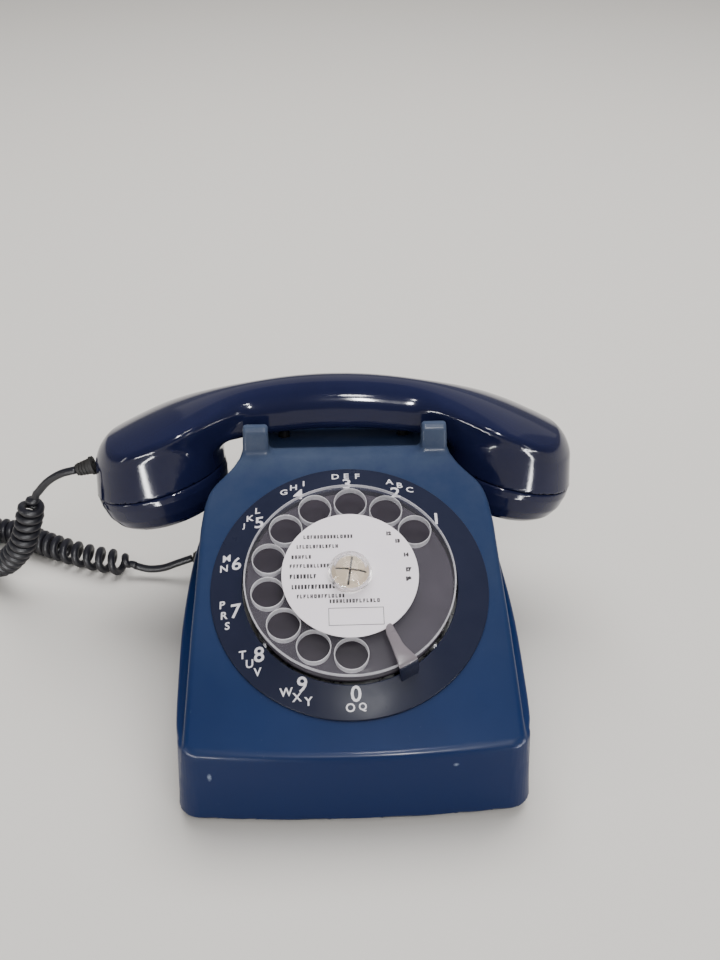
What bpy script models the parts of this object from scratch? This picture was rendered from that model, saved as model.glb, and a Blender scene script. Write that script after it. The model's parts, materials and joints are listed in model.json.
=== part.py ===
"""Desk telephone with a rotary dial, modelled as separate named pieces.

Sizes are in millimetres and are scaled to metres when a mesh is made. The telephone's
base is modelled about its own plane of symmetry, with y counted from its front face and
z from the table. The dial and the handset each have a frame of their own (an empty).
"""
import math

import bmesh
import bpy
from mathutils import Matrix, Vector

MM = 0.001

# ---------------------------------------------------------------- driving dimensions
DEPTH = 204.0                 # front face to rear face of the base
MIDDLE_Y = 103.0              # front face to the middle of the whole telephone
FOOT_HEIGHT = 5.0
SKIRT_TOP = 44.0              # top of the lower band, and of the ledge behind it
FRONT_EDGE = 42.9             # height of the slope where it starts, at the front face
SLOPE = math.radians(25.0)
WALL = 2.8                    # case wall
GAP = 0.3                     # clearance between pieces that touch
FRONT_BOW = 3.1               # the front face is proud by this at its middle
FRONT_HALF = 64.8             # half the bowed face, to where its corners start
CORNER = 10.0                 # radius of the front corners in plan
FLARE = 0.028                 # the lower band is wider by this share at its foot than at its top
RIM_Y, RIM_TOP = 137.5, 106.4                 # front rim of the cradle
TROUGH_FRONT, TROUGH_REAR = 102.5, 96.5       # cradle floor, front and rear
CREST_Y, CREST_TOP = 188.0, 110.0             # rear rim of the cradle
NECK_HALF = 49.0              # half width of the neck that carries the cradle
HORN_IN, HORN_OUT = 36.6, 48.2   # sides of a cradle horn
HORN_TOP = 118.6
REAR_HORN_TOP = 112.4
HANDSET_SHIFT = 5.0           # the handset rests this far left of the base's middle

DIAL_RUN = 78.0               # front edge to dial centre, along the slope
HOLE_PITCH = 37.0             # finger-hole circle radius
HOLE_DIA = 14.5
HOLE_STEP = math.radians(25.875)
HOLE_FIRST = math.radians(36.4)
WHEEL_R = 46.6
RING_R = 62.4
RING_IN = 48.2
OPENING_R = 57.4
WHEEL_TOP = 13.5              # finger-hole plane above the slope
CARD_R = 30.2
STOP_ANGLE = math.radians(299.0)

CUP_SPREAD = 87.5             # handset middle to cup centre
CUP_R = 32.0
CUP_TILT = math.radians(14.5)
LEAN = math.radians(11.0)     # the handset leans back by this
HANDSET_Y, HANDSET_Z = 158.0, 82.0            # middle of the handset's cap plane
HANDLE_HALF = 15.5
HANDLE_LOW, HANDLE_HIGH = 27.0, 47.4
ARCH_R = 235.0
INNER_R = 262.0

CORD_D = 4.4
COIL_D = 15.0

MAIN_TEETH, MAIN_R = 30, 26.0
PINION_TEETH = 10
CAM_TEETH = 15

# ---------------------------------------------------------------- scene and materials
for old in list(bpy.data.objects):
    bpy.data.objects.remove(old, do_unlink=True)


def material(name, colour, roughness, metallic=0.0):
    mat = bpy.data.materials.new(name)
    mat.use_nodes = True
    shader = mat.node_tree.nodes["Principled BSDF"]
    shader.inputs["Base Color"].default_value = (*colour, 1.0)
    shader.inputs["Roughness"].default_value = roughness
    shader.inputs["Metallic"].default_value = metallic
    mat.diffuse_color = (*colour, 1.0)
    return mat


BLUE = material("blue_case", (0.02, 0.10, 0.24), 0.35)
NAVY = material("navy_handset", (0.010, 0.016, 0.060), 0.12)
RING = material("dark_ring", (0.012, 0.016, 0.035), 0.35)
CLEAR = material("clear_plastic", (0.55, 0.56, 0.58), 0.08)
WHITE = material("white_card", (0.80, 0.78, 0.80), 0.50)
BEIGE = material("beige_screw", (0.42, 0.34, 0.22), 0.40, 0.3)
GREY = material("grey_plastic", (0.30, 0.29, 0.30), 0.35)
STEEL = material("plated_steel", (0.55, 0.55, 0.55), 0.35, 1.0)
BRASS = material("brass", (0.65, 0.48, 0.20), 0.30, 1.0)
RUBBER = material("black_rubber", (0.012, 0.012, 0.012), 0.80)
BLACK = material("black_plastic", (0.015, 0.015, 0.017), 0.45)
COPPER = material("copper_winding", (0.50, 0.20, 0.08), 0.40, 0.8)
BOARD = material("circuit_board", (0.25, 0.14, 0.05), 0.55)
CORD = material("grey_cord", (0.045, 0.050, 0.065), 0.50)


# ---------------------------------------------------------------- mesh helpers
def empty(name, location, rotation=(0, 0, 0), parent=None):
    frame = bpy.data.objects.new(name, None)
    frame.location = Vector(location) * MM
    frame.rotation_euler = rotation
    frame.parent = parent
    bpy.context.collection.objects.link(frame)
    return frame


def finish_mesh(name, mesh, mat, parent, location, rotation, smooth):
    """Turn a bmesh in millimetres into an object in metres."""
    bmesh.ops.recalc_face_normals(mesh, faces=mesh.faces)
    bmesh.ops.scale(mesh, vec=(MM, MM, MM), verts=mesh.verts)
    data = bpy.data.meshes.new(name)
    mesh.to_mesh(data)
    mesh.free()
    data.materials.append(mat)
    if smooth:
        data.shade_smooth()
        data.set_sharp_from_angle(angle=math.radians(35))
    obj = bpy.data.objects.new(name, data)
    obj.parent = parent
    obj.location = Vector(location) * MM
    obj.rotation_euler = rotation
    bpy.context.collection.objects.link(obj)
    return obj


def prism(name, outline, low, high, mat, parent=None, location=(0, 0, 0), rotation=(0, 0, 0), smooth=True):
    """Extrude a closed outline of (x, y) points from z = low to z = high."""
    mesh = bmesh.new()
    face = mesh.faces.new([mesh.verts.new((x, y, low)) for x, y in outline])
    grown = bmesh.ops.extrude_face_region(mesh, geom=[face])
    top = [item for item in grown["geom"] if isinstance(item, bmesh.types.BMVert)]
    bmesh.ops.translate(mesh, vec=(0, 0, high - low), verts=top)
    return finish_mesh(name, mesh, mat, parent, location, rotation, smooth)


def side_prism(name, outline, left, right, mat, parent=None):
    """Extrude a closed outline of (y, z) points from x = left to x = right."""
    mesh = bmesh.new()
    face = mesh.faces.new([mesh.verts.new((left, y, z)) for y, z in outline])
    grown = bmesh.ops.extrude_face_region(mesh, geom=[face])
    far = [item for item in grown["geom"] if isinstance(item, bmesh.types.BMVert)]
    bmesh.ops.translate(mesh, vec=(right - left, 0, 0), verts=far)
    return finish_mesh(name, mesh, mat, parent, (0, 0, 0), (0, 0, 0), True)


def loft(name, rings, mat, parent=None, location=(0, 0, 0), rotation=(0, 0, 0), smooth=True):
    """Skin rings of equally many (x, y, z) points, and close both ends."""
    mesh = bmesh.new()
    rows = [[mesh.verts.new(point) for point in ring] for ring in rings]
    count = len(rows[0])
    for low, high in zip(rows, rows[1:]):
        for i in range(count):
            j = (i + 1) % count
            mesh.faces.new((low[i], low[j], high[j], high[i]))
    mesh.faces.new(list(reversed(rows[0])))
    mesh.faces.new(rows[-1])
    return finish_mesh(name, mesh, mat, parent, location, rotation, smooth)


def turned(name, profile, mat, parent=None, location=(0, 0, 0), rotation=(0, 0, 0), steps=32):
    """Turn a closed profile of (radius, z) points about z; points at radius 0 become poles."""
    mesh = bmesh.new()
    rows = []
    for radius, z in profile:
        if radius == 0:
            rows.append([mesh.verts.new((0, 0, z))])
            continue
        turn = [2 * math.pi * k / steps for k in range(steps)]
        rows.append([mesh.verts.new((radius * math.cos(a), radius * math.sin(a), z)) for a in turn])
    for row, following in zip(rows, rows[1:] + rows[:1]):
        if len(row) == 1 and len(following) == 1:
            continue
        for k in range(steps):
            m = (k + 1) % steps
            corners = [row[k % len(row)], row[m % len(row)], following[m % len(following)], following[k % len(following)]]
            mesh.faces.new(list(dict.fromkeys(corners)))
    return finish_mesh(name, mesh, mat, parent, location, rotation, True)


def peg(name, radius, low, high, mat, parent=None, location=(0, 0, 0), steps=16):
    """A plain upright cylinder from z = low to z = high."""
    turn = [2 * math.pi * (k + 0.31) / steps for k in range(steps)]
    circle = [(radius * math.cos(a), radius * math.sin(a)) for a in turn]
    return prism(name, circle, low, high, mat, parent, location)


def block(name, low, high, mat, parent=None, bevel=0.0):
    """A box between two corners, with its edges broken by bevel."""
    mesh = bmesh.new()
    bmesh.ops.create_cube(mesh, size=1.0)
    size = [b - a for a, b in zip(low, high)]
    middle = [(a + b) / 2 for a, b in zip(low, high)]
    bmesh.ops.scale(mesh, vec=size, verts=mesh.verts)
    if bevel:
        bmesh.ops.bevel(mesh, geom=mesh.edges[:], offset=bevel, segments=1, affect="EDGES")
    bmesh.ops.translate(mesh, vec=middle, verts=mesh.verts)
    return finish_mesh(name, mesh, mat, parent, (0, 0, 0), (0, 0, 0), False)


def as_cutter(*objects):
    for obj in objects:
        obj.hide_render = True
        obj.display_type = "WIRE"


def combine(obj, other, operation):
    """Join, cut or intersect obj with other, which becomes a hidden tool."""
    step = obj.modifiers.new(operation.lower(), "BOOLEAN")
    step.operation = operation
    step.object = other
    step.solver = "EXACT"
    as_cutter(other)


def bar(name, start, end, radius, mat, parent=None, steps=12):
    """A round bar between two points."""
    start = Vector(start)
    along = Vector(end) - start
    obj = peg(name, radius, 0, along.length, mat, parent, start, steps)
    obj.rotation_euler = along.to_track_quat("Z", "Y").to_euler()
    return obj


def inset(outline, distance):
    """Move every side of a counter-clockwise outline inward by distance."""
    moved = []
    count = len(outline)
    for k in range(count):
        before = Vector(outline[k - 1])
        here = Vector(outline[k])
        after = Vector(outline[(k + 1) % count])
        first = (here - before).normalized()
        second = (after - here).normalized()
        normal_1 = Vector((-first.y, first.x))
        normal_2 = Vector((-second.y, second.x))
        mitre = normal_1 + normal_2
        moved.append(tuple(here + mitre * (distance / (1.0 + normal_1.dot(normal_2)))))
    return moved


def arc(centre, radius, start, end, count):
    turn = [start + (end - start) * k / count for k in range(count + 1)]
    return [(centre[0] + radius * math.cos(a), centre[1] + radius * math.sin(a)) for a in turn]


def eased(value):
    value = min(max(value, 0.0), 1.0)
    return value * value * (3 - 2 * value)


# ---------------------------------------------------------------- frames
base_frame = empty("base_frame", (HANDSET_SHIFT, -MIDDLE_Y, 0))
dial_centre = (0, DIAL_RUN * math.cos(SLOPE), FRONT_EDGE + DIAL_RUN * math.sin(SLOPE))
dial_frame = empty("dial_frame_axis", dial_centre, (SLOPE, 0, 0), base_frame)
handset_frame = empty("handset_frame", (0, HANDSET_Y - MIDDLE_Y, HANDSET_Z), (-LEAN, 0, 0))
left_cup = empty("left_cup_axis", (-CUP_SPREAD, 0, 0), (0, -CUP_TILT, 0), handset_frame)
right_cup = empty("right_cup_axis", (CUP_SPREAD, 0, 0), (0, CUP_TILT, 0), handset_frame)


# ---------------------------------------------------------------- case outlines
def slope_height(y):
    return FRONT_EDGE + y * math.tan(SLOPE)


def skirt_outline(flare=0.0):
    """Plan of the lower band: bowed front, barrel sides, rounded rear corners."""
    side = [(76.3, 24.0), (77.8, 50.0), (79.0, 80.0), (79.0, 105.0), (78.0, 135.0), (76.2, 155.0), (73.0, 180.0)]
    corner_y = FRONT_BOW + CORNER
    front_corner = arc((FRONT_HALF, corner_y), CORNER, -math.pi / 2, -0.08, 5)
    rear_corner = arc((56.0, DEPTH - 14.0), 14.0, 0.15, math.pi / 2, 5)
    right = front_corner + side + rear_corner
    steps = 8
    bow = [(-FRONT_HALF + 2 * FRONT_HALF * k / steps) for k in range(1, steps)]
    front = [(x, FRONT_BOW * (x / FRONT_HALF) ** 2) for x in bow]
    left = [(-x, y) for x, y in reversed(right)]
    return [(x * (1 + flare), y) for x, y in front + right + left]


def wall_half(y):
    """Half width of the upper body at the slope, and the lean of its side wall there."""
    shoulder = eased((y - 110.0) / 33.0)
    wide = 72.0 - 4.7 * min(y, 110.0) / 110.0
    half = wide + (NECK_HALF - wide) * shoulder
    lean = 0.114 - 0.114 * shoulder
    return half, lean


def upper_ring(z, shrink):
    """Plan of the upper body at height z, moved in by shrink."""
    rows = [3.5, 5, 7, 9.5, 20, 45, 75, 100, 110, 114, 118, 122, 126, 130, 134, 138, 143, 175, DEPTH - 0.6]
    right = []
    for y in rows:
        half, lean = wall_half(y)
        if y < 13.0:
            half = min(half, FRONT_HALF - 0.8 + math.sqrt(100 - (13.0 - y) ** 2))
        edge = min(slope_height(y), RIM_TOP)
        right.append((half - (z - edge) * lean, y))
    outline = [(-x, y) for x, y in reversed(right)] + right
    outline = inset(outline, shrink) if shrink else outline
    return [(x, y, z) for x, y in outline]


def side_outline():
    """Side view of everything above the skirt, as (y, z), running backwards along the top."""
    return [
        (DEPTH + 20, -20.0), (DEPTH + 20, SKIRT_TOP), (DEPTH - 0.5, SKIRT_TOP),
        (CREST_Y + 9.0, CREST_TOP - 2.0), (CREST_Y + 6.0, CREST_TOP), (CREST_Y, CREST_TOP),
        (CREST_Y - 3.0, CREST_TOP - 2.0), (CREST_Y - 5.0, TROUGH_REAR),
        (RIM_Y + 8.0, TROUGH_FRONT), (RIM_Y + 4.0, RIM_TOP - 0.8), (RIM_Y + 1.5, RIM_TOP),
        (RIM_Y - 1.5, RIM_TOP - 0.2), (RIM_Y - 5.0, slope_height(RIM_Y - 5.0)),
        (-15.0, slope_height(-15.0)), (-15.0, -20.0),
    ]


def case_solid(name, shrink, floor):
    """The case's outer form (shrink 0) or the hollow inside it (shrink = wall)."""
    rings = []
    for z in (floor, SKIRT_TOP - shrink):
        outline = skirt_outline(FLARE * (SKIRT_TOP - z) / (SKIRT_TOP - FOOT_HEIGHT))
        outline = inset(outline, shrink) if shrink else outline
        rings.append([(x, y, z) for x, y in outline])
    solid = loft(name, rings, BLUE, base_frame, smooth=False)
    levels = (SKIRT_TOP - shrink - 3.0, HORN_TOP + 12.0)
    upper = loft(name + "_upper", [upper_ring(z, shrink) for z in levels], BLUE, base_frame)
    side = side_outline()
    side = inset(side, shrink) if shrink else side
    profile = side_prism(name + "_side", side, -100, 100, BLUE, base_frame)
    combine(solid, upper, "UNION")
    combine(solid, profile, "INTERSECT")
    return solid


# ---------------------------------------------------------------- case and base
SCREW_PLACES = {"front": (0.0, 15.0), "rear_left": (-62.0, 168.0), "rear_right": (62.0, 168.0)}
PLUNGER_X, PLUNGER_Y = 30.0, 165.0
PLUNGER_R = 2.6
GLAND_Y, GLAND_Z = 178.0, 13.0
GLAND_HALF = 74.9             # half width of the skirt at the handset cord's gland
LINE_GLAND_X = 30.0


def make_cover():
    cover = case_solid("case_cover", 0.0, FOOT_HEIGHT)
    combine(cover, case_solid("cover_hollow", WALL, -5.0), "DIFFERENCE")
    combine(cover, peg("dial_opening", OPENING_R, -14, 12, BLUE, dial_frame, steps=48), "DIFFERENCE")
    for side in (-1, 1):
        inner, outer = sorted((side * HORN_IN, side * HORN_OUT))
        front = [(136.2, 101.0), (136.8, 107.2), (139.6, 117.4), (141.0, HORN_TOP),
                 (144.2, HORN_TOP), (145.2, 117.4), (145.2, 101.0)]
        rear = [(187.2, 100.0), (187.2, REAR_HORN_TOP - 1.2), (188.2, REAR_HORN_TOP), (193.6, REAR_HORN_TOP),
                (195.4, REAR_HORN_TOP - 1.4), (197.2, 106.0), (197.2, 100.0)]
        saddle = [(144.0, 98.0), (144.0, 104.0), (186.8, 97.4), (188.0, 97.4), (188.0, 93.0)]
        for label, outline in (("front", front), ("rear", rear), ("saddle", saddle)):
            combine(cover, side_prism(f"{label}_horn_{side}", outline, inner, outer, BLUE, base_frame), "UNION")
        place = (side * PLUNGER_X, PLUNGER_Y, 0)
        bore = peg(f"plunger_bore_{side}", PLUNGER_R + 0.5, 80, 115, BLUE, base_frame, place)
        combine(cover, bore, "DIFFERENCE")
    for label, (x, y) in SCREW_PLACES.items():
        roof = 47.6 if label == "front" else SKIRT_TOP - 1.2
        combine(cover, peg(f"post_{label}", 4.2, 8.0, roof, BLUE, base_frame, (x, y, 0)), "UNION")
        combine(cover, peg(f"post_hole_{label}", 1.8, 5.0, 24.0, BLUE, base_frame, (x, y, 0), 12), "DIFFERENCE")
    side_hole = bar("handset_gland_hole", (-GLAND_HALF - 8, GLAND_Y, GLAND_Z),
                    (-GLAND_HALF + 10, GLAND_Y, GLAND_Z), 4.3, BLUE, base_frame, 16)
    rear_hole = bar("line_gland_hole", (LINE_GLAND_X, DEPTH - 12, GLAND_Z),
                    (LINE_GLAND_X, DEPTH + 8, GLAND_Z), 4.3, BLUE, base_frame, 16)
    combine(cover, side_hole, "DIFFERENCE")
    combine(cover, rear_hole, "DIFFERENCE")
    return cover


def make_base():
    plate = prism("base_plate", inset(skirt_outline(FLARE * 0.9), WALL + GAP), FOOT_HEIGHT + GAP, 7.5, STEEL, base_frame)
    for label, (x, y) in SCREW_PLACES.items():
        combine(plate, peg(f"plate_hole_{label}", 2.1, 2.0, 12.0, STEEL, base_frame, (x, y, 0), 12), "DIFFERENCE")
        screw = [(0, 3.0), (3.2, 3.0), (3.4, 3.6), (3.4, 5.0), (1.5, 5.0), (1.5, 20.0), (0, 20.6)]
        turned(f"cover_screw_{label}", screw, STEEL, base_frame, (x, y, 0), steps=12)
    for end, y in (("front", 24.0), ("rear", 184.0)):
        for side, x in (("left", -54.0), ("right", 54.0)):
            foot = [(0, 0), (8.4, 0), (9.2, 0.8), (8.6, FOOT_HEIGHT), (0, FOOT_HEIGHT)]
            turned(f"foot_{end}_{side}", foot, RUBBER, base_frame, (x, y, 0), steps=24)


def make_glands():
    """Rubber sleeves where the two cords pass the case wall."""
    sleeve = [(0, 3.0), (3.9, 3.0), (3.9, -6.0), (6.0, -6.0), (5.6, -7.6), (3.4, -14.0), (0, -14.0)]
    plain = [(0, 3.0), (3.9, 3.0), (3.9, -6.0), (5.6, -6.0), (5.2, -7.7), (0, -7.7)]
    turned("handset_cord_gland", sleeve, RUBBER, base_frame, (-GLAND_HALF + 5.0, GLAND_Y, GLAND_Z),
           (0, math.pi / 2, 0), 16)
    turned("line_cord_gland", plain, RUBBER, base_frame, (LINE_GLAND_X, DEPTH - 5.7, GLAND_Z),
           (math.pi / 2, 0, 0), 16)


# ---------------------------------------------------------------- dial
def gear_outline(teeth, radius, addendum, dedendum, share=0.36, phase=0.0):
    """Trapezoid teeth; share is the tooth's part of the pitch at the pitch circle."""
    pitch = 2 * math.pi / teeth
    points = []
    for k in range(teeth):
        middle = phase + k * pitch
        for r, width in ((radius - dedendum, 0.30), (radius + addendum, 0.16)):
            points.append((r, middle - pitch * share * (0.5 + width * (r < radius))))
        for r, width in ((radius + addendum, 0.16), (radius - dedendum, 0.30)):
            points.append((r, middle + pitch * share * (0.5 + width * (r < radius))))
    return [(r * math.cos(a), r * math.sin(a)) for r, a in points]


def dial_point(radius, angle, height):
    return (radius * math.cos(angle), radius * math.sin(angle), height)


def make_dial_face():
    ring = [(RING_R, GAP), (RING_R, 1.0), (RING_R - 0.6, 1.4), (RING_IN, 6.0), (RING_IN, 2.2), (55.0, 0.4),
            (55.0, -3.2), (OPENING_R - 0.5, -3.2), (OPENING_R - 0.5, GAP)]
    turned("number_ring", ring, RING, dial_frame, steps=40)
    plate = [(4.9, 3.6), (RING_IN - 0.6, 3.6), (RING_IN - 0.6, 5.4), (4.9, 5.4)]
    turned("dial_plate", plate, RING, dial_frame, steps=32)
    wheel = [(3.6, 6.2), (8.0, 6.2), (8.0, 10.9), (43.2, 10.9), (44.6, 8.4), (WHEEL_R, 8.4), (WHEEL_R, 9.6),
             (44.6, WHEEL_TOP - 0.9), (43.4, WHEEL_TOP), (3.6, WHEEL_TOP)]
    finger_wheel = turned("finger_wheel", wheel, CLEAR, dial_frame, steps=40)
    for k in range(10):
        place = dial_point(HOLE_PITCH, HOLE_FIRST + k * HOLE_STEP, 0)
        bore = peg(f"finger_hole_{k}", HOLE_DIA / 2, 4, 20, CLEAR, dial_frame, place, 14)
        combine(finger_wheel, bore, "DIFFERENCE")
    card = [(5.6, WHEEL_TOP + GAP), (CARD_R, WHEEL_TOP + GAP), (CARD_R, WHEEL_TOP + 0.8), (5.6, WHEEL_TOP + 0.8)]
    turned("number_card", card, WHITE, dial_frame, steps=32)
    knob = [(8.3, 14.6), (9.8, 14.6), (9.8, 16.4), (8.9, 18.9), (6.5, 20.7), (3.4, 21.6), (0, 21.9),
            (0, 20.7), (3.2, 20.4), (6.0, 19.5), (8.1, 17.8)]
    turned("centre_knob", knob, CLEAR, dial_frame, steps=20)
    head = [(0, 4.2), (2.2, 4.2), (2.2, 14.4), (7.8, 14.4), (7.8, 16.2), (6.4, 17.6), (3.4, 18.4), (0, 18.6)]
    screw = turned("knob_screw", head, BEIGE, dial_frame, steps=24)
    for label, angle in (("a", math.radians(-10)), ("b", math.radians(80))):
        slot = block(f"screw_slot_{label}", (-6.6, -0.45, 16.6), (6.6, 0.45, 19.5), BEIGE, dial_frame)
        slot.rotation_euler = (0, 0, angle)
        combine(screw, slot, "DIFFERENCE")


def make_finger_stop():
    """A blade that rises from the ring beside the wheel and reaches in over the card's edge."""
    thick = 1.3
    spine = [(51.5, -0.01, 5.2, 9.5), (50.6, 0.0, 9.0, 9.6), (49.2, 0.0, 13.6, 9.8), (46.8, 0.0, 15.6, 9.8),
             (43.0, 0.02, 16.2, 8.8), (38.0, 0.03, 16.3, 7.2), (33.0, 0.05, 16.2, 5.4), (29.6, 0.07, 15.8, 3.8)]
    rings = []
    for k, (radius, swing, height, width) in enumerate(spine):
        before = spine[max(k - 1, 0)]
        after = spine[min(k + 1, len(spine) - 1)]
        across = Vector((after[0] - before[0], after[2] - before[2])).normalized()
        up = Vector((across.y, -across.x)) * (thick / 2)
        if up.x < 0 and k < 3:
            up = -up
        if k >= 3 and up.y < 0:
            up = -up
        angle = STOP_ANGLE + swing
        out = Vector((math.cos(angle), math.sin(angle), 0))
        sideways = Vector((-math.sin(angle), math.cos(angle), 0)) * (width / 2)
        middle = out * radius + Vector((0, 0, height))
        rise = out * up.x + Vector((0, 0, up.y))
        rings.append([middle + rise - sideways, middle + rise + sideways,
                      middle - rise + sideways, middle - rise - sideways])
    loft("finger_stop", [[tuple(p) for p in ring] for ring in rings], GREY, dial_frame, smooth=False)


def make_dial_works():
    """Frame, shaft, return spring, gear train, governor and pulse contacts under the dial."""
    frame = [(6.4, -10), (54, -10), (54, -0.6), (52.2, -0.6), (52.2, -8), (6.4, -8)]
    works_frame = turned("dial_works_frame", frame, STEEL, dial_frame, steps=32)
    for k in range(3):
        x, y, _ = dial_point(44.0, math.radians(90 + 120 * k), 0)
        combine(works_frame, peg(f"pillar_{k}", 2.5, -9, 3.3, STEEL, dial_frame, (x, y, 0), 12), "UNION")
    for label, (x, y) in GEAR_PLACES.items():
        combine(works_frame, peg(f"pin_{label}", 1.5, -34, -9, STEEL, dial_frame, (x, y, 0), 12), "UNION")
    bush = [(3.3, -12), (8.0, -12), (8.0, -10.3), (6.0, -10.3), (6.0, -6), (3.3, -6)]
    turned("dial_bush", bush, BRASS, dial_frame, steps=24)
    shaft = [(0, -34), (3.0, -34), (3.0, -20.3), (3.0, 3.9), (4.4, 3.9), (4.4, 5.9), (3.3, 5.9), (3.3, 12.0),
             (2.5, 12.0), (2.5, 3.9), (0, 3.9)]
    turned("dial_shaft", shaft, STEEL, dial_frame, steps=20)
    outline = gear_outline(MAIN_TEETH, MAIN_R, 0.9, 1.5)
    gear = prism("main_gear", outline, -24.5, -22, BRASS, dial_frame, smooth=False)
    combine(gear, peg("gear_bore", 3.3, -30, -18, BRASS, dial_frame, steps=20), "DIFFERENCE")
    make_spring()
    make_governor()
    make_pulse_works()


def make_spring():
    """Flat spiral return spring round the shaft."""
    turns, steps = 3.0, 36
    inner, outer, thick = 5.0, 19.0, 0.7
    centre = []
    for k in range(steps + 1):
        share = k / steps
        centre.append((inner + (outer - inner) * share, 2 * math.pi * turns * share))
    far = [((r + thick / 2) * math.cos(a), (r + thick / 2) * math.sin(a)) for r, a in centre]
    near = [((r - thick / 2) * math.cos(a), (r - thick / 2) * math.sin(a)) for r, a in reversed(centre)]
    prism("return_spring", far + near, -19.5, -13.5, STEEL, dial_frame)


MESH_SLACK = 0.7              # the toothed wheels stand this much further apart than their pitch circles


def gear_place(teeth, angle):
    distance = MAIN_R * (1 + teeth / MAIN_TEETH) + MESH_SLACK
    return (distance * math.cos(angle), distance * math.sin(angle))


GOVERNOR_ANGLE = math.radians(0.0)
CAM_ANGLE = math.radians(180.0)
GEAR_PLACES = {"governor": gear_place(PINION_TEETH, GOVERNOR_ANGLE), "cam": gear_place(CAM_TEETH, CAM_ANGLE)}


def make_governor():
    x, y = GEAR_PLACES["governor"]
    radius = MAIN_R * PINION_TEETH / MAIN_TEETH
    teeth = gear_outline(PINION_TEETH, radius, 0.9, 1.5, phase=math.pi / PINION_TEETH)
    rotor = prism("governor_rotor", teeth, -24.8, -21.7, BRASS, dial_frame, (x, y, 0), smooth=False)
    arms = [(0, -33.0), (9.0, -33.0), (9.0, -29.5), (3.6, -29.5), (3.6, -24.0), (0, -24.0)]
    combine(rotor, turned("rotor_disc", arms, BRASS, dial_frame, (x, y, 0), steps=24), "UNION")
    combine(rotor, peg("rotor_bore", 1.9, -40, -10, BRASS, dial_frame, (x, y, 0), 12), "DIFFERENCE")
    cup = [(9.8, -28.4), (11.2, -28.4), (11.2, -36.0), (2.2, -36.0), (2.2, -34.6), (9.8, -34.6)]
    turned("governor_cup", cup, STEEL, dial_frame, (x, y, 0), steps=24)


def make_pulse_works():
    x, y = GEAR_PLACES["cam"]
    radius = MAIN_R * CAM_TEETH / MAIN_TEETH
    teeth = gear_outline(CAM_TEETH, radius, 0.9, 1.5, phase=0.0)
    half = math.pi / CAM_TEETH
    teeth = [(px * math.cos(half) - py * math.sin(half), px * math.sin(half) + py * math.cos(half)) for px, py in teeth]
    cam = prism("pulse_cam", teeth, -24.8, -21.7, BLACK, dial_frame, (x, y, 0), smooth=False)
    lobes = []
    for k in range(36):
        a = 2 * math.pi * k / 36
        lobes.append(((6.5 + 1.2 * math.cos(3 * a)) * math.cos(a), (6.5 + 1.2 * math.cos(3 * a)) * math.sin(a)))
    combine(cam, prism("cam_lobes", lobes, -32.0, -24.0, BLACK, dial_frame, (x, y, 0)), "UNION")
    combine(cam, peg("cam_bore", 1.9, -40, -10, BLACK, dial_frame, (x, y, 0), 12), "DIFFERENCE")
    stack = block("pulse_contacts", (-44.0, 12.0, -33.0), (-32.0, 20.0, -25.5), BLACK, dial_frame, 0.6)
    for k, z in enumerate((-31.5, -29.2, -26.9)):
        leaf = block(f"leaf_{k}", (-41.0 + 2 * k, 8.6 + 0.2 * k, z - 0.4), (-40.4 + 2 * k, 14.0, z + 0.4), BRASS, dial_frame)
        combine(stack, leaf, "UNION")


# ---------------------------------------------------------------- hook switch
LEVER_Y, LEVER_Z = 140.0, 76.0


def make_hook_switch():
    for side, x in (("left", -PLUNGER_X), ("right", PLUNGER_X)):
        pin = [(0, LEVER_Z + 3.3), (4.6, LEVER_Z + 3.3), (4.6, LEVER_Z + 5.3), (PLUNGER_R, LEVER_Z + 5.3),
               (PLUNGER_R, 103.6), (PLUNGER_R - 0.8, 104.4), (0, 104.6)]
        turned(f"hook_plunger_{side}", pin, GREY, base_frame, (x, PLUNGER_Y, 0), steps=16)
    lever = block("hook_lever", (-36, PLUNGER_Y - 3, LEVER_Z), (36, PLUNGER_Y + 1, LEVER_Z + 3), STEEL, base_frame)
    for side, x in (("left", -20.0), ("right", 20.0)):
        arm = block(f"lever_arm_{side}", (x - 3, LEVER_Y - 4, LEVER_Z + 0.4), (x + 3, PLUNGER_Y, LEVER_Z + 2.6),
                    STEEL, base_frame)
        combine(lever, arm, "UNION")
    combine(lever, bar("lever_tube", (-25, LEVER_Y, LEVER_Z + 1.5), (25, LEVER_Y, LEVER_Z + 1.5), 2.8, STEEL,
                       base_frame), "UNION")
    combine(lever, bar("lever_bore", (-30, LEVER_Y, LEVER_Z + 1.5), (30, LEVER_Y, LEVER_Z + 1.5), 1.7, STEEL,
                       base_frame), "DIFFERENCE")
    bracket = block("hook_bracket", (-30, LEVER_Y - 14, LEVER_Z - 6), (30, LEVER_Y - 10, LEVER_Z + 8), STEEL, base_frame)
    for x in (-28.5, 28.5):
        cheek = block(f"cheek_{x}", (x - 1.5, LEVER_Y - 12, LEVER_Z - 3), (x + 1.5, LEVER_Y + 4, LEVER_Z + 6),
                      STEEL, base_frame)
        combine(bracket, cheek, "UNION")
    axle = bar("lever_axle", (-28.5, LEVER_Y, LEVER_Z + 1.5), (28.5, LEVER_Y, LEVER_Z + 1.5), 1.3, STEEL, base_frame)
    combine(bracket, axle, "UNION")
    contacts = block("hook_contacts", (-9, PLUNGER_Y - 9, LEVER_Z - 18), (9, PLUNGER_Y + 9, LEVER_Z - 8), BLACK,
                     base_frame, 0.8)
    for k, y in enumerate((-6.0, -2.0, 2.0, 6.0)):
        leaf = block(f"hook_leaf_{k}", (-5, PLUNGER_Y + y - 0.4, LEVER_Z - 9), (5, PLUNGER_Y + y + 0.4, LEVER_Z - 1.2),
                     BRASS, base_frame)
        combine(contacts, leaf, "UNION")


# ---------------------------------------------------------------- ringer and board
GONG_X, GONG_Y, GONG_R = 34.0, 152.0, 25.0
COIL_Y = 188.8
CLAPPER_Y = 178.0


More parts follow.
